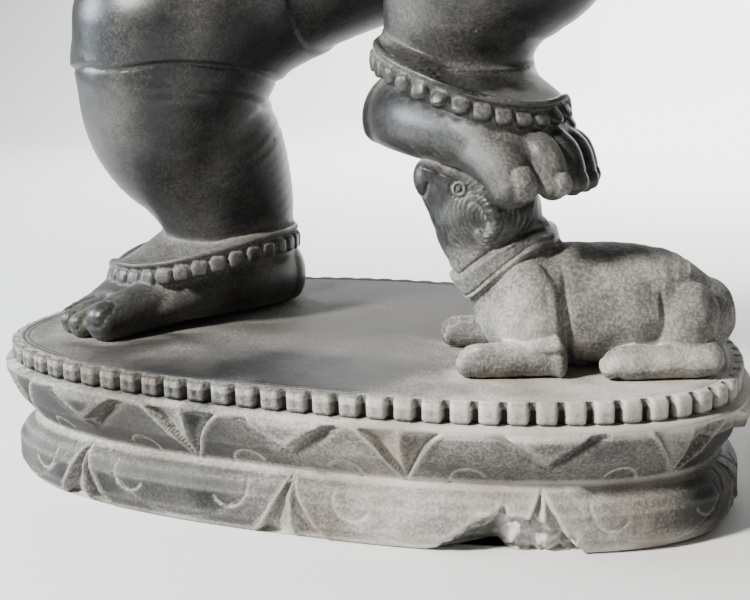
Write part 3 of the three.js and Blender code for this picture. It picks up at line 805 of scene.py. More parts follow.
arm((-0.089, 0.076, 1.030), (-0.225, 0.050, 0.905), (-0.221, -0.066, 0.945))
egg((-0.219, -0.074, 0.985), (0.040, 0.017, 0.044), soft=0.008)
for n in (-1.5, -0.5, 0.5, 1.5):
    limb([(-0.219 + 0.019 * n, -0.076, 1.006, 0.012), (-0.219 + 0.019 * n, -0.082, 1.068, 0.0096)], 0.004,
         (0.3, -0.8, 0.5), end=0.6, between=2)
limb([(-0.193, -0.076, 0.975, 0.013), (-0.173, -0.084, 1.030, 0.010)], 0.006, between=2)

arm((0.159, 0.076, 1.030), (0.297, 0.044, 0.905), (0.265, -0.100, 0.905))
egg((0.235, -0.136, 0.912), (0.046, 0.044, 0.018), soft=0.01)
turned_on(((0, -0.030), (0.028, -0.030), (0.054, 0.002), (0.058, 0.022), (0.045, 0.024), (0.034, 0.044),
           (0, 0.056)), (0.229, -0.142, 0.940), UP)

arm((-0.077, 0.106, 1.040), (-0.199, 0.122, 1.030), (-0.225, 0.100, 1.175), 0.044)
egg((-0.229, 0.090, 1.192), (0.032, 0.032, 0.034), soft=0.008)
limb([(-0.225, 0.070, 1.120, 0.009), (-0.237, 0.078, 1.330, 0.009)], 0.004, end=0.5, between=2)
limb([(-0.239, 0.078, 1.300, 0.030, 0.012), (-0.295, 0.078, 1.308, 0.050, 0.006)], 0.004, end=0.5,
     between=2)

arm((0.147, 0.106, 1.040), (0.269, 0.122, 1.030), (0.295, 0.100, 1.175), 0.044)
egg((0.297, 0.090, 1.192), (0.032, 0.032, 0.034), soft=0.008)
turned_on(((0, -0.040), (0.012, -0.030), (0.014, 0), (0.042, 0.034), (0.038, 0.062), (0, 0.096)),
          (0.301, 0.086, 1.245), UP)

# The head
# An elephant's, of the same stone and plain: fanned ears, the trunk reaching the bowl, one whole and
# one broken tusk, and a tiered crown.

egg((MIDDLE, 0.050, 1.190), (0.112, 0.116, 0.108), soft=0.02)
for side in (-1, 1):
    egg((MIDDLE + side * 0.042, 0.014, 1.238), (0.062, 0.072, 0.056), soft=0.015)
    egg((MIDDLE + side * 0.056, -0.018, 1.142), (0.050, 0.056, 0.056), soft=0.015)
limb([(MIDDLE, -0.028, 1.212, 0.066), (MIDDLE, -0.088, 1.140, 0.060), (MIDDLE + 0.002, -0.130, 1.060, 0.050),
      (MIDDLE + 0.026, -0.160, 0.985, 0.041), (MIDDLE + 0.088, -0.176, 0.945, 0.034),
      (MIDDLE + 0.146, -0.176, 0.966, 0.029), (MIDDLE + 0.170, -0.166, 1.000, 0.024)], 0.015, (1, 0, 0))
for side in (-1, 1):
    limb([(MIDDLE + side * 0.092, 0.036, 1.170, 0.024, 0.078),
          (MIDDLE + side * 0.138, 0.054, 1.162, 0.015, 0.108),
          (MIDDLE + side * 0.192, 0.082, 1.150, 0.011, 0.084)], 0.008, UP)
for side, reach in ((-1, 0.056), (1, 0.024)):
    limb([(MIDDLE + side * 0.048, -0.048, 1.124, 0.017),
          (MIDDLE + side * 0.062, -0.080 - reach * 0.7, 1.100 - reach * 0.2, 0.010)], 0.004, end=0.5,
         between=2)
turned_on(((0, 0), (0.100, 0), (0.104, 0.026), (0.084, 0.040), (0.088, 0.058), (0.066, 0.076), (0.068, 0.094),
           (0.048, 0.110), (0.050, 0.126), (0.028, 0.142), (0.030, 0.158), (0, 0.186)),
          (MIDDLE, 0.054, 1.256), (0, 0.06, 1))

# The figure's skin
# The stone's surface: one point in each cell of the grid that the surface passes through, moved onto
# the surface, and a four-sided face round each edge that crosses it.

NEAR_SURFACE = 0.012
BORDER = 0.0004
LEAST_SLOPE = 0.05
FIGURE_TRIANGLES = 190000


def whole_field(lines):
    """The field on a grid: roughly, in the middle of every block of three points each way, and then
    finely in the blocks that the surface may pass through."""
    thirds = [line[1::3] for line in lines]
    places = np.stack(np.meshgrid(*thirds, indexing="ij"), -1).reshape(-1, 3)
    whole = field_at(places).reshape([len(line) for line in thirds])
    for axis in range(3):
        whole = np.repeat(whole, 3, axis)
    spots = np.argwhere(np.abs(whole) < NEAR_SURFACE)
    whole[tuple(spots.T)] = field_at(np.stack([line[spots[:, n]] for n, line in enumerate(lines)], -1))
    return whole


def surface(field, lines):
    """Points and faces of the field's zero. A cell's point starts as the mean of the places where its
    edges cross the surface, and then follows the field's slope towards zero three times. The field is
    kept above zero on the grid's border, so that the skin closes."""
    for axis in range(3):
        ends = [slice(None)] * 3
        for end in (0, -1):
            ends[axis] = end
            field[tuple(ends)] = np.maximum(field[tuple(ends)], BORDER)
    inside = field < 0
    shape = np.array(field.shape)
    stride = np.array((shape[1] * shape[2], shape[2], 1))
    crossings = []
    for axis in range(3):
        ahead = [slice(None)] * 3
        behind = [slice(None)] * 3
        ahead[axis], behind[axis] = slice(1, None), slice(None, -1)
        start = np.argwhere(inside[tuple(ahead)] != inside[tuple(behind)])
        after = start.copy()
        after[:, axis] += 1
        first, last = field[tuple(start.T)], field[tuple(after.T)]
        spot = start.astype(np.float32)
        spot[:, axis] += first / (first - last)
        others = [n for n in range(3) if n != axis]
        cells = np.stack([start @ stride - a * stride[others[0]] - b * stride[others[1]]
                          for a, b in ((1, 1), (0, 1), (0, 0), (1, 0))], -1)
        if axis == 1:
            cells = cells[:, ::-1]
        cells[first >= 0] = cells[first >= 0][:, ::-1]
        crossings.append((cells, spot))
    every = np.concatenate([cells.ravel() for cells, _ in crossings])
    spots = np.concatenate([np.repeat(spot, 4, 0) for _, spot in crossings])
    used, number = np.unique(every, return_inverse=True)
    count = np.bincount(number)
    mean = np.stack([np.bincount(number, spots[:, n]) / count for n in range(3)], -1)
    cell = np.stack(np.unravel_index(used, field.shape), -1)
    corner = {(a, b, c): field[cell[:, 0] + a, cell[:, 1] + b, cell[:, 2] + c]
              for a in (0, 1) for b in (0, 1) for c in (0, 1)}
    sizes = np.stack([np.diff(line)[cell[:, n]] for n, line in enumerate(lines)], -1)
    local = mean - cell
    for _ in range(3):
        value = np.zeros(len(local))
        slope = np.zeros((len(local), 3))
        for key, held in corner.items():
            parts = [local[:, n] if key[n] else 1 - local[:, n] for n in range(3)]
            value += held * parts[0] * parts[1] * parts[2]
            for n in range(3):
                others = [parts[m] for m in range(3) if m != n]
                slope[:, n] += (1 if key[n] else -1) * held * others[0] * others[1] / sizes[:, n]
        move = -value[:, None] * slope / np.maximum((slope ** 2).sum(1), LEAST_SLOPE)[:, None]
        local = np.clip(local + move / sizes, 0, 1)
    low = np.stack([line[cell[:, n]] for n, line in enumerate(lines)], -1)
    return low + local * sizes, number.reshape(-1, 4)


def carved_piece(name, lines, triangles):
    """A piece of the statue: the field's skin on a grid, thinned to a number of triangles."""
    lines = [line[:len(line) // 3 * 3].astype(np.float32) for line in lines]
    points, faces = surface(whole_field(lines), lines)
    made = skinned(name, points, faces.tolist())
    thin = made.modifiers.new("thin", "DECIMATE")
    thin.ratio = min(triangles / (2 * len(faces)), 1)
    plain = bpy.data.meshes.new_from_object(made.evaluated_get(bpy.context.evaluated_depsgraph_get()))
    made.modifiers.clear()
    made.data = plain
    plain.name = name
    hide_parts("statue")
    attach(made, "root")
    return made


figure = carved_piece("figure", (
    np.arange(-0.462, 0.420, STEP), np.arange(-0.282, 0.264, STEP),
    np.concatenate([np.arange(0.168, 0.636, STEP), np.arange(0.636, 1.46, 2 * STEP)])), FIGURE_TRIANGLES)
DANCER = list(FORMS)
FORMS.clear()

# The mouse
# It lies with folded legs on the plinth, of the same block and heavy as a lamb, its head thrown back
# under the raised foot, with a flat collar round its neck. Its marks are fine, so its grid is closer.

MOUSE_STEP = 0.0016
MOUSE_TRIANGLES = 180000
HEAD_MIDDLE = 0.004
EYE = (0.186, 0.223)
EAR = (0.150, 0.186)
MOUSE = np.float32((0.330, -0.075, PLINTH_TOP))
MOUSE_AXES = np.float32(((-0.955, -0.297, 0), (0.297, -0.955, 0), (0, 0, 1)))


def on_mouse(*stations):
    """Stations of the mouse's own frame, forward, to its near side and up, carried to the statue's."""
    return [(*(MOUSE + np.array(s[:3]) @ MOUSE_AXES), *s[3:]) for s in stations]


limb(on_mouse((0.108, 0, 0.076, 0.064, 0.066), (0.040, 0, 0.076, 0.076, 0.074),
              (-0.050, 0, 0.072, 0.074, 0.070), (-0.106, 0, 0.058, 0.054, 0.050)), 0.01, UP, end=0.9)
egg(on_mouse((0.112, 0, 0.072))[0], (0.048, 0.058, 0.064), soft=0.012)
limb(on_mouse((0.100, 0, 0.084, 0.059), (0.133, 0, 0.124, 0.057), (0.158, 0.003, 0.160, 0.052),
              (0.170, 0.004, 0.190, 0.050)), 0.014)
limb(on_mouse((0.142, 0.004, 0.186, 0.054, 0.052), (0.180, 0.004, 0.210, 0.050, 0.046),
              (0.214, 0.004, 0.234, 0.032, 0.029)), 0.01, end=0.9)
egg(on_mouse((0.136, 0.002, 0.194))[0], (0.050, 0.044, 0.044), soft=0.012)
egg(on_mouse((0.092, 0, 0.150))[0], (0.027, 0.040, 0.032), soft=0.01)


def collar(places):
    """A flat strap tied slantwise round the neck: the skin stands out between two slanted levels, with
    a thin line cut along its lower part. It narrows towards the nape."""
    u, v, w = ((places - MOUSE) @ MOUSE_AXES.T).T
    ahead = np.clip((u - 0.085) / 0.085, -0.2, 1.2)
    height = 0.158 - 0.004 * ahead - 0.045 * ahead * ahead - 0.10 * (v - 0.045)
    half = 0.0055 + 0.0105 * np.clip(ahead, 0, 1)
    over = (w - height) * 0.8
    band = ease((half - np.abs(over)) / 0.003 + 0.5) * ease((u - 0.062) / 0.012)
    line = ridge(over + half - 0.0062, 0.0016)
    beside = ridge(np.abs(over) - half - 0.0035, 0.0022)
    return band * (0.0056 - 0.0024 * line) - 0.0026 * beside * (u > 0.07)


neck = on_mouse((0.142, 0, 0.130))[0]
swell(neck - np.float32(0.115), neck + np.float32(0.115), collar)
for side in (-1, 1):
    ear_line = ((0.168, 0.044, 0.214, 0.006), (0.155, 0.051, 0.212, 0.009), (0.145, 0.055, 0.198, 0.010),
                (0.142, 0.055, 0.181, 0.009), (0.150, 0.054, 0.168, 0.008), (0.162, 0.050, 0.171, 0.006))
    limb(on_mouse(*((u, HEAD_MIDDLE + side * v, w, half) for u, v, w, half in ear_line)), 0.003, (0, 1, 0.3),
         end=0.9)
for side, reach in ((1, 0), (-1, 0.020)):
    egg(on_mouse((0.104, side * 0.052, 0.078))[0], (0.043, 0.031, 0.060), -0.2, 0.006)
    limb(on_mouse((0.070, side * 0.062, 0.022, 0.026, 0.023), (0.125, side * 0.070, 0.022, 0.024, 0.021),
                  (0.168 + reach, side * 0.074, 0.019, 0.021, 0.020),
                  (0.180 + reach, side * 0.074, 0.014, 0.019, 0.014)), 0.004, UP)
    egg(on_mouse((0.088, side * 0.076, 0.038))[0], (0.028, 0.014, 0.011), -0.1, 0.004)
    egg(on_mouse((-0.086, side * 0.054, 0.060))[0], (0.034, 0.036, 0.052), 0.25, 0.006)
    limb(on_mouse((-0.108, side * 0.068, 0.024, 0.026, 0.024), (-0.050, side * 0.076, 0.020, 0.022, 0.021),
                  (-0.006, side * 0.080, 0.019, 0.022, 0.020), (0.010, side * 0.081, 0.013, 0.019, 0.013)),
         0.004, UP)
limb(on_mouse((-0.104, -0.034, 0.034, 0.016), (-0.132, -0.092, 0.010, 0.014),
              (-0.080, -0.128, 0.006, 0.011), (0, -0.136, 0.005, 0.009), (0.060, -0.112, 0.004, 0.007)),
     0.004, UP)


def mouse_marks(places):
    """What the carver cut into the mouse: an eye of rings on each cheek, the slit of the mouth, curls
    round the ears, a groove behind the shoulder, a hollow before the haunch and clefts in the paws."""
    u, v, w = ((places - MOUSE) @ MOUSE_AXES.T).T
    side = np.abs(v - HEAD_MIDDLE)
    eye = np.hypot(u - EYE[0], w - EYE[1])
    on_cheek = side > 0.02
    rings = 0.0018 * ridge(eye - 0.0070, 0.0012) - 0.0020 * ridge(eye - 0.0047, 0.0012)
    rings += 0.0018 * ease((0.0035 - eye) / 0.002) - 0.0010 * ridge(eye - 0.0102, 0.0016)
    brow = 0.003 * ridge(w - 0.236 - 0.35 * (u - 0.200), 0.004) * ease((u - 0.165) / 0.02)
    mouth = -0.0028 * ridge(u - 0.224 + 0.25 * (w - 0.225), 0.0020)
    mouth = mouth * ease((w - 0.205) / 0.006) * ease((0.232 - w) / 0.006)
    near = side > 0.03
    groove = -0.0075 * ridge(u - 0.054 - 0.07 * (w - 0.02), 0.0048) * near * ease((0.140 - w) / 0.04)
    crest = 0.0035 * ridge(u - 0.066 - 0.10 * (w - 0.02), 0.007) * near * ease((0.130 - w) / 0.04)
    hollow = -0.012 * np.exp(-(((u + 0.046) / 0.013) ** 2 + ((w - 0.052) / 0.012) ** 2)) * near
    thigh = -0.005 * ridge(u + 0.058 - 0.10 * (w - 0.05), 0.0042) * near
    thigh = thigh * ease((0.112 - w) / 0.03) * ease((w - 0.05) / 0.02)
    toe = np.minimum(np.abs(side - 0.066), np.abs(side - 0.080))
    paw = ease((u - 0.158) / 0.008) + ease((u + 0.010) / 0.008) * (u < 0.05)
    cleft = -0.0032 * ridge(toe, 0.0020) * paw * (w < 0.036)
    ear = np.hypot(u - EAR[0], w - EAR[1])
    hair = ease((side - 0.02) / 0.01) * ease((w - 0.140) / 0.01) * ease((0.040 - np.abs(ear - 0.02)) / 0.012)
    wave = ear + 0.0022 * ripple(places, 0.030, 41, 5) + 0.2 * (u - w)
    strands = ridge(np.mod(wave, 0.0062) - 0.0031, 0.0013)
    lumps = 0.0007 * ripple(places, 0.050, 43, 6) + 0.0002 * ripple(places, 0.014, 44, 6)
    head = rings * on_cheek + brow * on_cheek + mouth
    return head + groove + crest + hollow + thigh + cleft + hair * 0.0010 * (strands - 0.4) + lumps


swell((0.10, -0.24, 0.18), (0.50, 0.10, 0.47), mouse_marks)
mouse = carved_piece("mouse", (
    np.arange(0.078, 0.512, MOUSE_STEP), np.arange(-0.222, 0.080, MOUSE_STEP),
    np.arange(0.168, 0.462, MOUSE_STEP)), MOUSE_TRIANGLES)
MOUSE_FORMS = list(FORMS)

# The stone's finish
# One dark, fine stone everywhere: rubbed smooth on the legs, dusty and rough on the plinth and the
# mouse, with pale dust in the hollows, pale worn edges, and fresh stone in the break. The same masks
# carry painted light and shade: painted sunlight on the plinth's right front, the leaves' left sides and
# the mouse's shoulder, and painted shade on the plinth's left, the middle of its top, its upper right
# panels, its right end, the gaps between its beads, the break's hollow, under the petals' tips and on
# the outer raised toes.


EDGE_DEPTH = 0.004
BLUR = 4
CARVING_DEPTH = 0.0022
HOLLOW_DUST = 0.32
EDGE_DUST_AND_PAINTED_LIGHT = 0.42


def corner_normals(piece):
    """The vertices' places and normals of a piece."""
    count = len(piece.data.vertices)
    places, normals = np.empty(count * 3, np.float32), np.empty(count * 3, np.float32)
    piece.data.vertices.foreach_get("co", places)
    piece.data.vertex_normals.foreach_get("vector", normals)
    return places.reshape(-1, 3), normals.reshape(-1, 3)


def field_near(places, forms):
    """The field of some forms at places in any order: they are worked out in the order of their x."""
    FORMS[:] = forms
    order = np.argsort(places[:, 0])
    found = np.empty(len(places), np.float32)
    found[order] = field_at(places[order].astype(np.float32))
    return found


def openness(places, normals, reach):
    """How far from any stone the point lies that is reach outside a surface, as a share of reach."""
    out = places + normals * reach
    clear = np.minimum(field_near(out, DANCER), field_near(out, MOUSE_FORMS))
    return np.clip(np.minimum(clear, out[:, 2] - PLINTH_TOP) / reach, -1, 1)


def hollows_and_edges(places, normals, forms, fine, broad):
    """How hollow the stone is, from its openness over a fine and a broad reach, and how sharp its edges
    are: a little way under an edge the field is less deep than under a flat."""
    near, wider = openness(places, normals, fine), openness(places, normals, broad)
    hollow = 0.6 * ease(1.05 - near) + 0.4 * ease(1 - wider)
    return hollow, ease(1.1 + field_near(places - normals * EDGE_DEPTH, forms) / EDGE_DEPTH)


def set_wear_and_painted_light(piece, hollow, dust_and_painted_light, pale, fresh=0):
    """Keeps four masks on a piece's vertices, as the four channels of one attribute: hollow dust, dust
    with painted light and shade, pale marks with some painted light, and fresh stone.
    """
    wear_and_painted_light = piece.data.attributes.new("wear_and_painted_light", "FLOAT_COLOR", "POINT")
    masks = np.stack(np.broadcast_arrays(hollow, dust_and_painted_light, pale, fresh), -1)
    wear_and_painted_light.data.foreach_set("color", np.clip(masks, 0, 1).astype(np.float32).ravel())


# On the figure dust lies on the instep, round the foot on the plinth, on the raised toes and the shin over
# them. The outer raised toes are kept dark as painted shade.
places, normals = corner_normals(figure)
x, y, z = places.T
hollow, edge = hollows_and_edges(places, normals, DANCER, 0.005, 0.014)
near_plinth = np.exp(-np.maximum(z - PLINTH_TOP, 0) / 0.008)
stand_u, _, stand_w = ((places - STANDING_FOOT[0]) @ STANDING_FOOT[1].T).T
on_standing_foot = ease((0.16 - stand_w) / 0.05) * (x < -0.05)
foot_u, foot_v, foot_w = ((places - RAISED_FOOT[0]) @ RAISED_FOOT[1].T).T
on_raised_foot = (foot_w < 0.10) & (foot_u > -0.10) & (np.abs(foot_v) < 0.1) & (z < 0.57) & (x > 0.02)
on_toes = ease((foot_u - 0.15) / 0.04) * on_raised_foot
# The outer toes of the raised foot: painted shade, with less dust and no pale nails.
shaded_outer_toes = on_toes * ease((-0.005 - foot_v) / 0.02)
shin_front = np.exp(-(((x - 0.12) / 0.07) ** 2 + ((z - 0.60) / 0.05) ** 2)) * (y < -0.05)
dust_and_painted_light = 0.035 + 0.075 * ease(normals[:, 2] + 0.3)
dust_and_painted_light = 0.02 + on_standing_foot * dust_and_painted_light * (1 - 0.5 * ease((stand_u - 0.20) / 0.06))
dust_and_painted_light += 0.02 * on_raised_foot + 0.07 * shin_front
dust_and_painted_light += (0.12 * on_toes - 0.12 * shaded_outer_toes) * ease(normals[:, 2] + 0.6)
dust_and_painted_light += 0.25 * near_plinth + 0.03 * ripple(places, 0.09, 51)
clean = 0.85 * (1 - 0.8 * on_toes) * (1 - 0.7 * on_standing_foot * (stand_u > 0.20))
on_nails = np.zeros(len(places))
for nail, way, size in NAILS:
    offset = (places - nail) @ way.T / size
    inside = ease((1.1 - (offset[:, :2] ** 4).sum(1) ** 0.25) / 0.12)
    on_nails = np.maximum(on_nails, inside * (offset[:, 2] > -1.5) * (offset[:, 2] < 1.7))
pale = 0.25 * edge * (1 - on_toes) + 0.55 * on_nails * (1 - shaded_outer_toes) * on_raised_foot
set_wear_and_painted_light(figure, hollow * clean, dust_and_painted_light, pale)

# On the mouse the mask is high on the body and the hind foot and low on the head; the pale patch on the
# shoulder is partly dust and partly painted sunlight.
places, normals = corner_normals(mouse)
u, v, w = ((places - MOUSE) @ MOUSE_AXES.T).T
hollow, edge = hollows_and_edges(places, normals, MOUSE_FORMS, 0.004, 0.012)
dust_and_painted_light = 0.26 - 0.23 * ease((w - 0.13) / 0.04) + 0.12 * ease((0.10 - w) / 0.06)
dust_and_painted_light += 0.22 * ease((normals[:, 2] - 0.35) / 0.4) * ease((w - 0.10) / 0.03) * ease((0.07 - u) / 0.03)
dust_and_painted_light += 0.24 * ease((0.045 - w) / 0.02) * (normals[:, 2] > -0.3) * ease((0.06 - u) / 0.03)
dust_and_painted_light -= 0.12 * ease((0.045 - w) / 0.02) * ease((u - 0.10) / 0.03)
# The shoulder's pale patch: partly dust, partly painted sunlight.
dust_and_painted_light += 0.38 * np.exp(-(((u - 0.110) / 0.035) ** 2 + ((w - 0.08) / 0.05) ** 2))
dust_and_painted_light += 0.05 * ripple(places, 0.06, 54)
dust_and_painted_light += 0.20 * np.exp(-np.maximum(w, 0) / 0.006)
set_wear_and_painted_light(mouse, hollow * ease(normals[:, 2] + 1), dust_and_painted_light, 0.8 * edge)

# On the plinth the masks hold dust along the ledges and in the waist, and painted light: painted sunlight on
# the right front of the side and of the top, and painted shade on the left and the middle of the top. A
# hollow is where the side lies deeper than round about, and an edge where it stands out.
places, normals = corner_normals(plinth)
x, y, z = places.T
length, height = plinth_walk.T
deep = plinth_depth.reshape(-1, PLINTH_COLUMNS)
blurred = deep
for axis in (0, 1):
    blurred = sum(np.roll(blurred, step, axis) for step in range(-BLUR, BLUR + 1)) / (2 * BLUR + 1)
sunk = np.append(((deep - blurred) / CARVING_DEPTH).ravel(), (0, 0))
on_side = height < PLINTH_TOP - 0.0005
on_beads = (height > BAND_TOP + 0.002) & on_side
pale = petals(length, height)[1]
broken, fresh = chip(length, height)
hollow = ease(np.where(on_side, sunk, 0.8 * sunk)) * (~on_beads)
hollow += 0.8 * ease(1 - openness(places, normals, 0.016)) * (z > PLINTH_TOP - 0.01)
edge = ease(-sunk - 0.1)
# How far to the right a place lies: the stone is painted paler there as painted sunlight, and darker to the
# left as painted shade.
right = ease((x + 0.15) / 0.35)
band = ridge(height - BAND_TOP, 0.009) + ridge(height - 0.006, 0.012)
# The top: a little dust at the left, the middle left dark as the painted shadow of the legs, and a painted
# pool of sunlight at the right front.
top_dust_and_painted_light = 0.01 + 0.08 * ease((-x - 0.05) / 0.15)
top_dust_and_painted_light += 0.90 * ease((x - 0.02) / 0.25) * ease((0.02 - y) / 0.22)
top_dust_and_painted_light += 0.20 * ease((-x - 0.28) / 0.14) * ease(0.3 - y / 0.1)
# The side: painted sunlight to the right and painted shade to the left, with the ledges paler.
side_dust_and_painted_light = 0.06 + 0.46 * right + 0.02 * (height < WAIST) + (0.06 + 0.36 * right) * band
# Painted shade on the upper panels to the right.
side_dust_and_painted_light -= 0.22 * right * ease((x - 0.12) / 0.1) * (height > WAIST + 0.008) * (height < BAND_TOP - 0.012)
side_dust_and_painted_light += 0.22 * ridge(height - WAIST, 0.006)
# Negative tone darkens the side: painted shadow under the petals' tips.
side_dust_and_painted_light *= 1 + 0.85 * np.minimum(pale, 0)
# The smooth hollow of the break is kept dark as painted shade.
side_dust_and_painted_light *= 1 - 0.92 * ease((CHIP_PEAK + 0.012 - length) / 0.02) * (broken > 0.004)
# Painted shade on the low part of the right end.
side_dust_and_painted_light = side_dust_and_painted_light - 0.60 * ease((x - 0.41) / 0.06) * (height < 0.13)
# The gaps between the beads are painted dark as shade, and the beads paler to the right as painted sunlight.
bead_gap_shade = on_beads * ease((np.append(plinth_depth, (0, 0)) - 0.008) / 0.004)
side_dust_and_painted_light = np.where(on_beads, 0.05 + 0.64 * right, side_dust_and_painted_light) * (1 - bead_gap_shade)
dust_and_painted_light = np.where(on_side, side_dust_and_painted_light, top_dust_and_painted_light) + 0.05 * ripple(places, 0.12, 52) * (1 - bead_gap_shade)
pale = np.where(on_side, (1 - on_beads) * pale + 0.5 * edge * (1 - bead_gap_shade), 0.4 * edge)
set_wear_and_painted_light(plinth, hollow, dust_and_painted_light, pale, fresh)


def new_group(name, inputs, outputs):
    """An empty node group with its sockets, each (name, kind, value)."""
    group = bpy.data.node_groups.new(name, "ShaderNodeTree")
    for label, kind, value in inputs:
        socket = group.interface.new_socket(label, in_out="INPUT", socket_type=kind)
        if value is not None:
            socket.default_value = value
    for label, kind in outputs:
        group.interface.new_socket(label, in_out="OUTPUT", socket_type=kind)
    return group, group.nodes.new("NodeGroupInput"), group.nodes.new("NodeGroupOutput")


def add_node(tree, kind, settings=(), inputs=(), links=()):
    """A node in a tree, with its settings, its values by socket, and its links by socket."""
    node = tree.nodes.new(kind)
    for label, value in dict(settings).items():
        setattr(node, label, value)
    for label, value in dict(inputs).items():
        node.inputs[label].default_value = value
    for label, source in dict(links).items():
        tree.links.new(source, node.inputs[label])
    return node


def noise(tree, where, scale, detail=4, roughness=0.55):
    """A noise's factor on the given coordinates."""
    values = {"Scale": scale, "Detail": detail, "Roughness": roughness}
    return add_node(tree, "ShaderNodeTexNoise", (), values, {"Vector": where}).outputs["Fac"]


def cells(tree, where, scale):
    """The distance from the nearest of some points scattered over the given coordinates."""
    values = {"Scale": scale, "Randomness": 1.0}
    return add_node(tree, "ShaderNodeTexVoronoi", (), values, {"Vector": where}).outputs["Distance"]


def ramp(tree, source, low, high, to_low=0.0, to_high=1.0):
    """A value carried smoothly from one range to another."""
    return add_node(tree, "ShaderNodeMapRange", {"interpolation_type": "SMOOTHSTEP"},
                    {"From Min": low, "From Max": high, "To Min": to_low, "To Max": to_high},
                    {"Value": source}).outputs["Result"]


def reckon(tree, how, first, second, clamp=False):
    """Two values, or a value and a number, put together."""
    node = add_node(tree, "ShaderNodeMath", {"operation": how, "use_clamp": clamp})
    for socket, part in zip(node.inputs, (first, second)):
        if isinstance(part, (int, float)):
            socket.default_value = part
        else:
            tree.links.new(part, socket)
    return node.outputs[0]


def blend_colours(tree, share, low, high):
    """One colour turning into another by a share. A colour is a socket or three numbers."""
    node = add_node(tree, "ShaderNodeMix", {"data_type": "RGBA"})
    tree.links.new(share, node.inputs["Factor"])
    for index, colour in ((6, low), (7, high)):
        if isinstance(colour, tuple):
            node.inputs[index].default_value = (*colour, 1)
        else:
            tree.links.new(colour, node.inputs[index])
    return node.outputs[2]


# How dusty a place is, with the painted light and shade that share its masks: its masks and three
# sizes of unevenness, with pale flecks and browner patches.
dust_and_painted_light_group, held, given = new_group(
    "dust_wear_and_painted_light", [("Where", "NodeSocketVector", None), ("Wear and painted light", "NodeSocketColor", None)],
    [("Dust and painted light", "NodeSocketFloat"), ("Flecks", "NodeSocketFloat"), ("Warmth", "NodeSocketFloat")])
where = held.outputs["Where"]
masks = add_node(dust_and_painted_light_group, "ShaderNodeSeparateColor", (), (), {"Color": held.outputs["Wear and painted light"]})
cloud = noise(dust_and_painted_light_group, where, 9, 5, 0.62)
smear = noise(dust_and_painted_light_group, where, 38, 4, 0.6)
grit = noise(dust_and_painted_light_group, where, 260, 3, 0.6)
drift = reckon(dust_and_painted_light_group, "ADD", ramp(dust_and_painted_light_group, cloud, 0.3, 0.7, -0.13, 0.13),
               ramp(dust_and_painted_light_group, smear, 0.3, 0.72, -0.09, 0.11))
drift = reckon(dust_and_painted_light_group, "MULTIPLY", drift, ramp(dust_and_painted_light_group, masks.outputs["Green"], 0.0, 0.45, 0.12, 1.0))
settled_and_painted_light = reckon(dust_and_painted_light_group, "ADD", masks.outputs["Green"], drift)
for channel, share in (("Red", HOLLOW_DUST), ("Blue", EDGE_DUST_AND_PAINTED_LIGHT)):
    more = reckon(dust_and_painted_light_group, "MULTIPLY", masks.outputs[channel], share)
    settled_and_painted_light = reckon(dust_and_painted_light_group, "ADD", settled_and_painted_light, more)
grains = reckon(dust_and_painted_light_group, "MULTIPLY", ramp(dust_and_painted_light_group, grit, 0.35, 0.7, -0.16, 0.16),
                ramp(dust_and_painted_light_group, settled_and_painted_light, 0.02, 0.4, 0.15, 1.0))
dusted_and_painted_light = reckon(dust_and_painted_light_group, "ADD", settled_and_painted_light, grains, True)
specks = ramp(dust_and_painted_light_group, cells(dust_and_painted_light_group, where, 210.0), 0.13, 0.22, 1.0, 0.0)
sprinkle = ramp(dust_and_painted_light_group, noise(dust_and_painted_light_group, where, 17, 5, 0.65), 0.52, 0.68)
flecks = reckon(dust_and_painted_light_group, "MULTIPLY", specks, sprinkle)
warmth = ramp(dust_and_painted_light_group, noise(dust_and_painted_light_group, where, 6, 3, 0.5), 0.45, 0.65)
for label, value in (("Dust and painted light", dusted_and_painted_light), ("Flecks", flecks), ("Warmth", warmth)):
    dust_and_painted_light_group.links.new(value, given.inputs[label])

# The grain's height: coarse and fine roughness and small pits, more where dust or painted sunlight
# lies or the stone is fresh.
grain_group, held, given = new_group(
    "stone_grain", [("Where", "NodeSocketVector", None), ("Dust and painted light", "NodeSocketFloat", 0.0),
                    ("Fresh", "NodeSocketFloat", 0.0)],
    [("Height", "NodeSocketFloat")])
where = held.outputs["Where"]
coarse = noise(grain_group, where, 95, 4, 0.6)
fine = noise(grain_group, where, 420, 3, 0.65)
pits = ramp(grain_group, cells(grain_group, where, 150.0), 0.10, 0.34, -1.0, 0.0)
pitted = ramp(grain_group, noise(grain_group, where, 30, 3, 0.6), 0.46, 0.62)
pits = reckon(grain_group, "MULTIPLY", pits, pitted)
rough_share = reckon(grain_group, "ADD", ramp(grain_group, held.outputs["Dust and painted light"], 0.1, 0.7, 0.22, 1.0),
                     reckon(grain_group, "MULTIPLY", held.outputs["Fresh"], 2.0))
grain_height = reckon(grain_group, "MULTIPLY", coarse, 1.1)
for part, share in ((fine, 0.55), (pits, 0.7)):
    more = reckon(grain_group, "MULTIPLY", part, share)
    grain_height = reckon(grain_group, "ADD", grain_height, more)
grain_group.links.new(reckon(grain_group, "MULTIPLY", grain_height, rough_share), given.inputs["Height"])

DARK_STONE = (0.007, 0.0075, 0.008)
GREY_STONE = (0.016, 0.0165, 0.0165)
PALE_DUST_AND_PAINTED_LIGHT = (0.47, 0.45, 0.405)
BROWN_DUST = (0.18, 0.145, 0.105)
FRESH_STONE = (0.52, 0.505, 0.47)
FLECK = (0.24, 0.235, 0.22)
FLECK_SHARE = 0.45
DUST_ROUGHNESS = 0.86


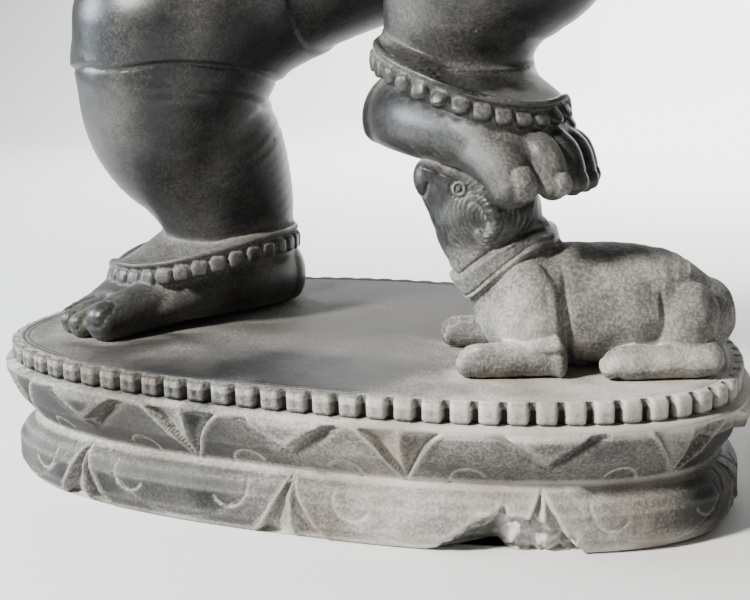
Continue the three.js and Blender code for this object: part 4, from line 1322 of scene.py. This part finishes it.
def stone_finish(name, brown, dullness):
    """The stone as a material: dark and satin where it is bare, pale and dull where dust lies and where
    sunlight is painted on.
    """
    stone = bpy.data.materials.new(name)
    stone.use_nodes = True
    tree = stone.node_tree
    shader = tree.nodes["Principled BSDF"]
    where = tree.nodes.new("ShaderNodeTexCoord").outputs["Object"]
    wear_and_painted_light = add_node(tree, "ShaderNodeAttribute", {"attribute_name": "wear_and_painted_light", "attribute_type": "GEOMETRY"})
    dusting_and_painted_light = add_node(tree, "ShaderNodeGroup", {"node_tree": dust_and_painted_light_group}, (),
                       {"Where": where, "Wear and painted light": wear_and_painted_light.outputs["Color"]})
    grain = add_node(tree, "ShaderNodeGroup", {"node_tree": grain_group}, (),
                     {"Where": where, "Dust and painted light": dusting_and_painted_light.outputs["Dust and painted light"], "Fresh": wear_and_painted_light.outputs["Alpha"]})
    veined = ramp(tree, noise(tree, where, 24, 6, 0.65), 0.40, 0.68)
    base = blend_colours(tree, veined, DARK_STONE, GREY_STONE)
    browner = reckon(tree, "MULTIPLY", dusting_and_painted_light.outputs["Warmth"], brown)
    dust_and_painted_light_colour = blend_colours(tree, browner, PALE_DUST_AND_PAINTED_LIGHT, BROWN_DUST)
    colour = blend_colours(tree, dusting_and_painted_light.outputs["Dust and painted light"], base, dust_and_painted_light_colour)
    flecked = reckon(tree, "MULTIPLY", dusting_and_painted_light.outputs["Flecks"], FLECK_SHARE)
    colour = blend_colours(tree, flecked, colour, FLECK)
    colour = blend_colours(tree, wear_and_painted_light.outputs["Alpha"], colour, FRESH_STONE)
    tree.links.new(colour, shader.inputs["Base Color"])
    roughness = ramp(tree, dusting_and_painted_light.outputs["Dust and painted light"], 0.03, 0.30, dullness, DUST_ROUGHNESS)
    tree.links.new(roughness, shader.inputs["Roughness"])
    bump = add_node(tree, "ShaderNodeBump", (), {"Strength": 0.55, "Distance": 0.0016},
                    {"Height": grain.outputs["Height"]})
    tree.links.new(bump.outputs["Normal"], shader.inputs["Normal"])
    shader.inputs["Specular IOR Level"].default_value = 0.3
    return stone


for piece, brown, dullness in ((figure, 0.25, 0.36), (mouse, 0.15, 0.42), (plinth, 0.6, 0.62)):
    piece.data.materials.append(stone_finish(piece.name + "_stone", brown, dullness))
